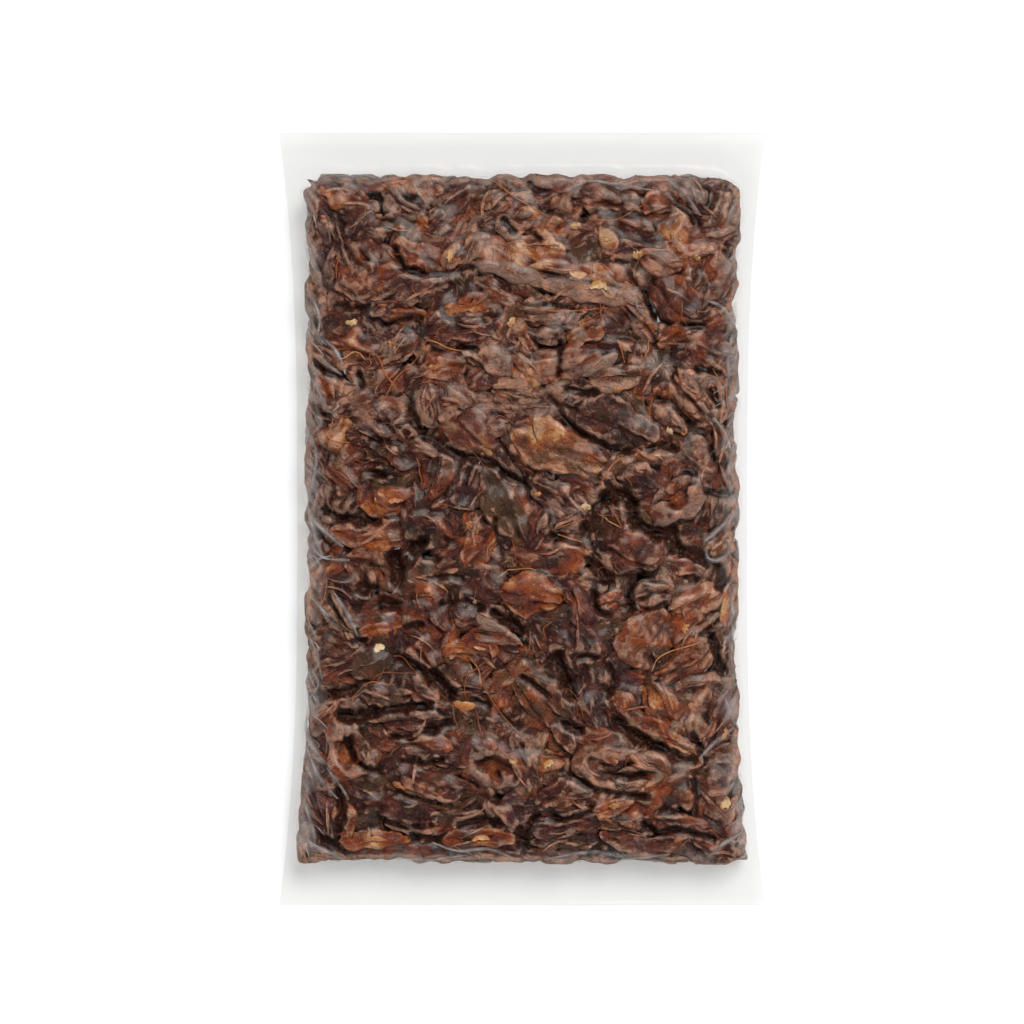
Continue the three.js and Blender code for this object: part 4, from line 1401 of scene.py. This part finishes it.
# %% [markdown]
# Loose strings and flakes lie across several fruits and belong to no clump, so each kind is one mesh of
# its own that rides with the pack.

# %% Build the strings and the flakes


def build_loose(name, parts, tones):
    points, faces = joined(parts)
    tones = np.concatenate([np.full(len(part[0]), tone) for part, tone in zip(parts, tones)])
    made = mesh_object(name, points, faces, husk, dict(flesh=tones), dict(grain=points))
    print(name, len(points), "points")


string_tubes = [tube(route, radius) for route, radius, _ in strings]
build_loose("loose_strings", string_tubes, [tone for _, _, tone in strings])
flake_grids = [(item.points, item.rows, item.columns) for item in flakes]
build_loose("husk_flakes", flake_grids, [item.tint[:, 0] for item in flakes])

# %% [markdown]
# A film under vacuum is an obstacle problem. It is stretched over the fruit, it can't pass through
# it, and the air outside pushes it into every gap as far as its tension allows. Relaxing a height
# map does this: each point takes the mean of its neighbours, less a little for the air's push, and
# is then lifted back to the fruit if it went through. At the seams it meets the other film.

# %% Let the films cling
FILM_ROUNDS = 420
TOP_PUSH, EDGE_PUSH = 1.4, 2.4
EDGE_REACH = 2.5
BRIDGE_SAG = 1.3
BACK_FILM_LOW = 0.16


def cling(obstacle, push):
    film = obstacle.copy()
    for _ in range(FILM_ROUNDS):
        mean = film.copy()
        beside = film[:-2, 1:-1] + film[2:, 1:-1] + film[1:-1, :-2] + film[1:-1, 2:]
        mean[1:-1, 1:-1] = beside / 4
        film = np.maximum(obstacle, mean - push)
    return film


edge_distance = inside_distance(grid_x, grid_y)
push = MAP_STEP ** 2 / 4 * np.where(edge_distance > EDGE_REACH, TOP_PUSH, EDGE_PUSH)
bridge = np.where(edge_distance > 3, ceiling_map - BRIDGE_SAG, SEAM)
front_ground = np.maximum(widest(np.maximum(top_map, SEAM)), bridge)
front_map = cling(blur(front_ground, 0.5) + 0.1, push)
back_ground = 2 * SEAM - blur(-widest(-bottom_map), 0.35)
back_map = np.maximum(2 * SEAM - cling(back_ground + 0.1, push), BACK_FILM_LOW)
print("films from", back_map.min(), "to", front_map.max())

# %% [markdown]
# Each film is a thin closed sheet on a grid that follows the pouch's waisted sides, with its lines
# close together near the sides, where the film turns down steeply and gathers into creases. Outside
# the block both films lie together in the flat margins, which ripple a little.

# %% The grid of the films
WAIST_HALF = 74.0


def pouch_half_width(y):
    """Half the pouch's width: it is drawn in at the waist, where the block takes up more film."""
    towards_end = np.abs(y / HALF_POUCH[1]) ** 3
    return WAIST_HALF + (HALF_POUCH[0] - WAIST_HALF) * towards_end


def stations(breaks, counts):
    """Even steps between breaks, closer together where a stretch has more of them."""
    parts = [np.linspace(a, b, n, endpoint=False) for a, b, n in zip(breaks, breaks[1:], counts)]
    return np.concatenate([*parts, breaks[-1:]])


across = stations([-1, -0.98, -0.80, 0.80, 0.98, 1], [3, 26, 92, 26, 3])
lengthways = stations([-127, -113.5, -106, 106, 113.5, 127], [8, 12, 178, 12, 8])
film_u, film_y = np.meshgrid(across, lengthways, indexing="ij")
film_x = film_u * pouch_half_width(film_y)
block_distance = inside_distance(film_x, film_y)
margin = np.clip(-block_distance / 8, 0, 1)
ripple = margin * (0.8 * noise_at(film_x, film_y, 0 * film_x, 30.0, 5.5)
                   + 0.06 * noise_at(film_x, film_y, 0 * film_x, 7.0, 9.5))
print("film grid:", film_x.shape)

# %% [markdown]
# Where the film turns down at the sides it gathers into slanting streaks, and a whitish painted sheen
# is laid along them. Where it bridges a gap it hangs clear of the fruit, and throws back less light.
# Both are worked out on the film's points, because they follow the shape of the block.

# %% Gathered and bridging film
along = (0.5 * np.abs(film_x) + 0.85 * film_y) / 9
slanting = (0.85 * np.abs(film_x) - 0.5 * film_y) / 1.3
streaks = noise_at(along, slanting, 0 * film_x, 1.0, 70.3)
streaks = streaks + 0.6 * noise_at(film_x, film_y, 0 * film_x, 9.0, 77.7)
gather = np.clip(block_distance / 1.2, 0, 1)
gather = gather * np.exp(-((np.maximum(block_distance - 2, 0) / 3.2) ** 2))
gather *= np.clip(0.25 + 1.7 * streaks, 0, 1)
at_ends = HALF_BLOCK[1] - np.abs(film_y) < half_block(film_y) - np.abs(film_x)
gather *= np.where(at_ends, 0.4, 1.0)
sunk = read_map(ceiling_map, film_x, film_y) - read_map(front_map, film_x, film_y)
bridging = np.clip((sunk - 0.3) / 0.8, 0, 1) * np.clip((block_distance - 3) / 2, 0, 1)
print("gathered:", round(float(gather.mean()), 3), "bridging:", round(float(bridging.mean()), 3))

# %% [markdown]
# Clear film shows by its gloss: a faint mirror that is much stronger where it is seen from the side,
# tinted a little by the pulp behind it. Along the gathered streaks a whitish diffuse share is painted
# sheen. Glass would bend the light, which thin film doesn't, so a transparent shader is mixed with a
# glossy one.

# %% Clear film


def film_material():
    nodes = Nodes(bpy.data.materials.new("clear_film"))
    gathered = nodes.attribute("gather")
    clear = nodes.add("ShaderNodeBsdfTransparent", {}, {"Color": (0.975, 0.975, 0.974, 1)})
    gloss = nodes.add("ShaderNodeBsdfAnisotropic", {}, {
        "Color": (1.0, 0.91, 0.84, 1), "Roughness": 0.26 + gathered * 0.1})
    # Painted sheen: a whitish diffuse share, laid where the film gathers at the sides.
    painted_sheen = nodes.add("ShaderNodeBsdfDiffuse", {}, {"Color": colour(214, 206, 202)})
    slant = nodes.add("ShaderNodeLayerWeight", {}, {"Blend": 0.5}, output=1)
    mirror = (0.0085 + slant.math("POWER", 3.5) * 0.38) * (1 - nodes.attribute("bridging") * 0.85)
    glossy = nodes.mix_shader(mirror, clear, gloss)
    return nodes.finish(nodes.mix_shader(gathered * 0.2, glossy, painted_sheen))


film = film_material()
print("film:", len(film.node_tree.nodes), "nodes")

# %% [markdown]
# A film's mesh is its grid twice, a tenth of a millimetre apart along the film's own slope, with a rim
# of squares all round. A closed sheet has an inside, as real film does.

# %% The film meshes
FILM_THICKNESS = 0.1
FILM_CLEARANCE = 0.05


def sheet_faces(rows, columns):
    """Two sheets of squares, one above the other, and the rim that joins their borders."""
    i, j = np.meshgrid(np.arange(rows - 1), np.arange(columns - 1), indexing="ij")
    here = (i * columns + j).ravel()
    sheet = np.stack([here, here + columns, here + columns + 1, here + 1], axis=-1)
    border = np.concatenate([
        np.arange(rows) * columns, (rows - 1) * columns + np.arange(1, columns),
        np.arange(rows - 2, -1, -1) * columns + columns - 1, np.arange(columns - 2, 0, -1)])
    following = np.roll(border, -1)
    offset = rows * columns
    rim = np.stack([border, border + offset, following + offset, following], axis=-1)
    return np.concatenate([sheet[:, ::-1], sheet + offset, rim[:, ::-1]])


def film_object(name, heights, up):
    inner = np.stack([film_x, film_y, heights], axis=-1)
    slope_x = np.gradient(heights, axis=0) / np.gradient(film_x, axis=0)
    slope_y = np.gradient(heights, axis=1) / np.gradient(film_y, axis=1)
    normal = np.stack([-slope_x, -slope_y, np.ones_like(slope_x)], axis=-1)
    normal /= np.linalg.norm(normal, axis=-1, keepdims=True)
    outer = inner + up * FILM_THICKNESS * normal
    points = np.concatenate([inner.reshape(-1, 3), outer.reshape(-1, 3)])
    faces = sheet_faces(*film_x.shape)[:, ::up]
    floats = dict(gather=np.tile(gather.ravel(), 2), bridging=np.tile(bridging.ravel(), 2))
    made = mesh_object(name, points, [faces], film, floats)
    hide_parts(name)
    print(name, len(points), "points")


front_heights = np.maximum(read_map(front_map, film_x, film_y), SEAM)
back_heights = np.minimum(read_map(back_map, film_x, film_y), SEAM)
film_object("front_film", front_heights + ripple + FILM_CLEARANCE, 1)
film_object("back_film", back_heights + ripple - FILM_CLEARANCE, -1)

# %% [markdown]
# Film that has to gather stands up in sharp pinched creases, mostly down the sides and round the
# corners. Each is a thin ridge that follows the film, painted with a broken whitish highlight.

# %% Pinched creases in the film
CREASES = """
0.34: -67.8 45.3, -63 35.2, -59.5 36.8 | 0.3: -66.6 60.3, -61 55.3, -58 50
0.3: -67 52.8, -58.5 46.8 | 0.4: -69.6 3, -67.4 -6, -64.5 -13 | 0.36: -70 -6, -65 -12.4, -56 -13.4
0.42: -68 -0.4, -63 -5, -58 -9 | 0.34: -69.6 -17, -66 -13, -62 -12
0.42: -68.6 -25.5, -64 -30.4, -59.5 -34.6 | 0.3: -61 -24, -56 -32, -53.4 -38
0.36: -69.4 -60, -70.6 -70, -66 -77.3, -57 -89.4 | 0.32: -70.4 -74, -66 -84, -60 -91
0.3: -69 -39, -67 -44, -65 -52 | 0.34: -70.6 -93, -68 -102, -67.4 -107
0.3: -68.6 -48.6, -66.4 -54, -69.8 -59 | 0.3: -29.4 -105.4, -20.9 -107.9, -10.8 -107.4, -3.3 -110.4
0.34: 57.6 -77.9, 62.7 -72.7, 68.9 -68 | 0.42: 59 -7.7, 63 -4, 67.9 0
0.42: 59.6 -9.2, 60.7 -12.8, 64.3 -13.3, 67.4 -10, 66 -6.2 | 0.3: 61 -6.4, 65 -2.4, 68.4 2
0.3: 19.7 109.4, 23.8 110, 42.2 107 | 0.3: 47.4 110.5, 54 104.3, 58 98.7
0.32: -70 75, -66 66, -67 58 | 0.32: -69.5 30, -67 20, -69 8 | 0.3: 69 62, 67 52, 68 40
0.3: 69 25, 67 15, 68.6 6 | 0.3: 70 -30, 68 -42, 69 -55 | 0.32: -44 -110, -30 -111, -18 -109.4
0.32: 8 -110.6, 22 -108.5, 36 -110.4, 48 -109 | 0.34: -73 -103, -66 -107, -58 -111
0.32: 72 -102, 65 -106, 60 -111 | 0.3: 62 33, 66 28, 68.6 20 | 0.3: 60 71, 65 69, 69 63
0.3: 66 -58, 68 -64, 70.6 -69 | 0.3: 67.6 -22, 68.6 -30, 69.6 -36
"""
SMALL_CREASES = 70
crease_random = np.random.default_rng(41)


def side_crease(random):
    """A short crease that runs in from a side of the pouch and down."""
    side = random.choice([-1, 1])
    y = random.uniform(-108, 104)
    reach = random.uniform(3, 9)
    slope = random.uniform(0.6, 2.6)
    start = np.array([side * (half_block(y) - random.uniform(0.2, 2.5)), y])
    run = np.array([-side * 1.0, -slope]) / np.hypot(1, slope) * reach
    sag = np.array([random.normal(0, 0.6), random.normal(0, 0.6)])
    return np.array([start, start + run / 2 + sag, start + run])


hand_creases = read_routes(CREASES)
small_creases = []
for _ in range(SMALL_CREASES):
    small_creases.append((crease_random.uniform(0.12, 0.24), side_crease(crease_random)))
print("creases:", len(hand_creases), "by hand and", len(small_creases), "small")

# %% [markdown]
# The creases and the flattened folds beside them share one material: clear film with a whitish
# painted highlight. Each gives it the share of that highlight by its own rule.

# %% Film with a painted highlight


def sheen_film(name, noise_scale, body, sheen_from):
    nodes = Nodes(bpy.data.materials.new(name))
    place = nodes.add("ShaderNodeTexCoord", {}, {}, output=3)
    milk = sheen_from(nodes, nodes.noise(place, noise_scale, 2.0))
    clear = nodes.add("ShaderNodeBsdfTransparent", {}, {"Color": (1, 1, 1, 1)})
    painted_sheen = nodes.add("ShaderNodeBsdfPrincipled", {}, body)
    return nodes.finish(nodes.mix_shader(milk, clear, painted_sheen))


def crease_sheen(nodes, broken):
    return ((broken - 0.36) * 2.6).clamp() * 0.5


def fold_sheen(nodes, broken):
    return nodes.attribute("milk") * (broken - 0.25).clamp() * 0.55


# Both colours are a whitish painted highlight on the film.
pinched_film = sheen_film("pinched_film", 190.0, {
    "Base Color": colour(216, 205, 200), "Roughness": 0.25, "Specular IOR Level": 0.8}, crease_sheen)
folded_film = sheen_film("folded_film", 260.0, {
    "Base Color": colour(206, 190, 184), "Roughness": 0.35, "Specular IOR Level": 0.5}, fold_sheen)
print("made", pinched_film.name, "and", folded_film.name)

# %% [markdown]
# A crease is a thin tube that lies on the film. Beside each listed crease lies a fold, which is a
# wider tube pressed flat, with a painted highlight in the middle and clear at its two edges.

# %% Build the creases and the folds
FOLD_WIDTH = 2.6


def crease_tube(radius, corners):
    return tube(on_ground(smooth_route(corners, 0.9), front_map, 0.4 * radius), radius, 6)


def flat_fold(radius, corners):
    flat = smooth_route(corners, 0.9)
    points, rows, columns = tube(np.column_stack([flat, 0 * flat[:, 0]]), radius, 8)
    x, y, z = points.T
    points = np.column_stack([x, y, read_map(front_map, x, y) + 0.15 + 0.1 * z])
    return (points, rows, columns), np.abs(z) / radius


points, faces = joined([crease_tube(*crease) for crease in hand_creases + small_creases])
film_creases = mesh_object("film_creases", points, faces, pinched_film)
folds, milk = zip(*[flat_fold(FOLD_WIDTH * radius, corners) for radius, corners in hand_creases])
points, faces = joined(folds)
film_folds = mesh_object("film_folds", points, faces, folded_film, dict(milk=np.concatenate(milk)))
print("folds:", len(folds))

# %% [markdown]
# The stage is a plain white floor that stays white to the camera and still takes the pack's shadow. A
# little glow lifts the floor to white without lighting the pack.

# %% The floor
FLOOR_SIZE = 6
FLOOR_GLOW = 0.345


def floor_material():
    nodes = Nodes(bpy.data.materials.new("studio_floor"))
    seen = nodes.add("ShaderNodeLightPath", {}, {}, output="Is Camera Ray")
    seen = seen + nodes.add("ShaderNodeLightPath", {}, {}, output="Is Glossy Ray")
    matte = nodes.add("ShaderNodeBsdfDiffuse", {}, {"Color": (0.78, 0.78, 0.78, 1)})
    glow = nodes.add("ShaderNodeEmission", {}, {
        "Color": (1, 1, 1, 1), "Strength": seen.clamp() * FLOOR_GLOW})
    return nodes.finish(nodes.add("ShaderNodeAddShader", {}, {0: matte, 1: glow}))


bpy.ops.mesh.primitive_plane_add(size=FLOOR_SIZE)
floor = bpy.context.object
floor.name = "floor"
floor.data.materials.append(floor_material())
print("floor:", floor.dimensions[:2])

# %% [markdown]
# Broad light from above and behind models the fruit and keeps the shadow soft, as the big overhead box
# in a studio does. Low strips at the sides only draw the edges of the film.

# %% The lights
STRIP = (0.25, 0.9)


def hang(name, kind, power, place):
    """A light that points from its place at the middle of the pack."""
    light = bpy.data.lights.new(name, kind)
    light.energy = power
    lamp = bpy.data.objects.new(name, light)
    bpy.context.scene.collection.objects.link(lamp)
    lamp.rotation_euler = Vector(place).to_track_quat("Z", "Y").to_euler()
    return lamp


def soft_box(name, place, size, power):
    lamp = hang(name, "AREA", power, place)
    lamp.location = place
    lamp.data.shape = "RECTANGLE"
    lamp.data.size, lamp.data.size_y = size


hang("key", "SUN", 2.2, (0.28, 0.56, 1.0)).data.angle = radians(32)
soft_box("left_strip", (-0.85, 0.0, 0.45), STRIP, 2)
soft_box("right_strip", (0.85, -0.1, 0.55), STRIP, 1.6)
soft_box("front_fill", (0.2, -0.9, 0.8), (0.8, 0.4), 1.5)
print("lights:", [lamp.name for lamp in bpy.data.objects if lamp.type == "LIGHT"])

# %% [markdown]
# The sky is bright near the horizon and dim overhead, so the film's sides have something to mirror and
# its top stays clear.

# %% The sky


def studio_world():
    nodes = Nodes(bpy.data.worlds.new("studio"))
    towards = nodes.add("ShaderNodeTexCoord", {}, {}, output=0)
    height = nodes.add("ShaderNodeSeparateXYZ", {}, {0: towards}, output=2)
    brightness = 0.02 + (1 - height.clamp()) * 0.5
    sky = nodes.add("ShaderNodeBackground", {}, {"Color": (1, 1, 1, 1), "Strength": brightness})
    return nodes.finish(sky, "ShaderNodeOutputWorld")


bpy.context.scene.world = studio_world()
print("sky:", bpy.context.scene.world.name)

# %% [markdown]
# The camera looks straight down on the pack through a long lens, which keeps its sides parallel.

# %% The camera
VIEW_WIDTH = 0.336
LENS = 100
AIM = (-0.0033, 0.0023)
PACK_MIDDLE = 0.008
camera_data = bpy.data.cameras.new("camera")
camera_data.lens = LENS
camera = bpy.data.objects.new("camera", camera_data)
bpy.context.scene.collection.objects.link(camera)
camera.location = (*AIM, VIEW_WIDTH * LENS / camera_data.sensor_width + PACK_MIDDLE)
bpy.context.scene.camera = camera
bpy.context.scene.view_settings.view_transform = "Standard"
print("camera at", camera.location[:])

# %% [markdown]
# The last cell notes the size of the packed solids and of the meshes that show, and hands the scene
# over.

# %% Write the sizes and finish
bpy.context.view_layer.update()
total = sum(len(p.vertices) - 2 for o in bpy.data.objects if o.type == "MESH" for p in o.data.polygons)
print("triangles in all, CAD nodes included:", total)
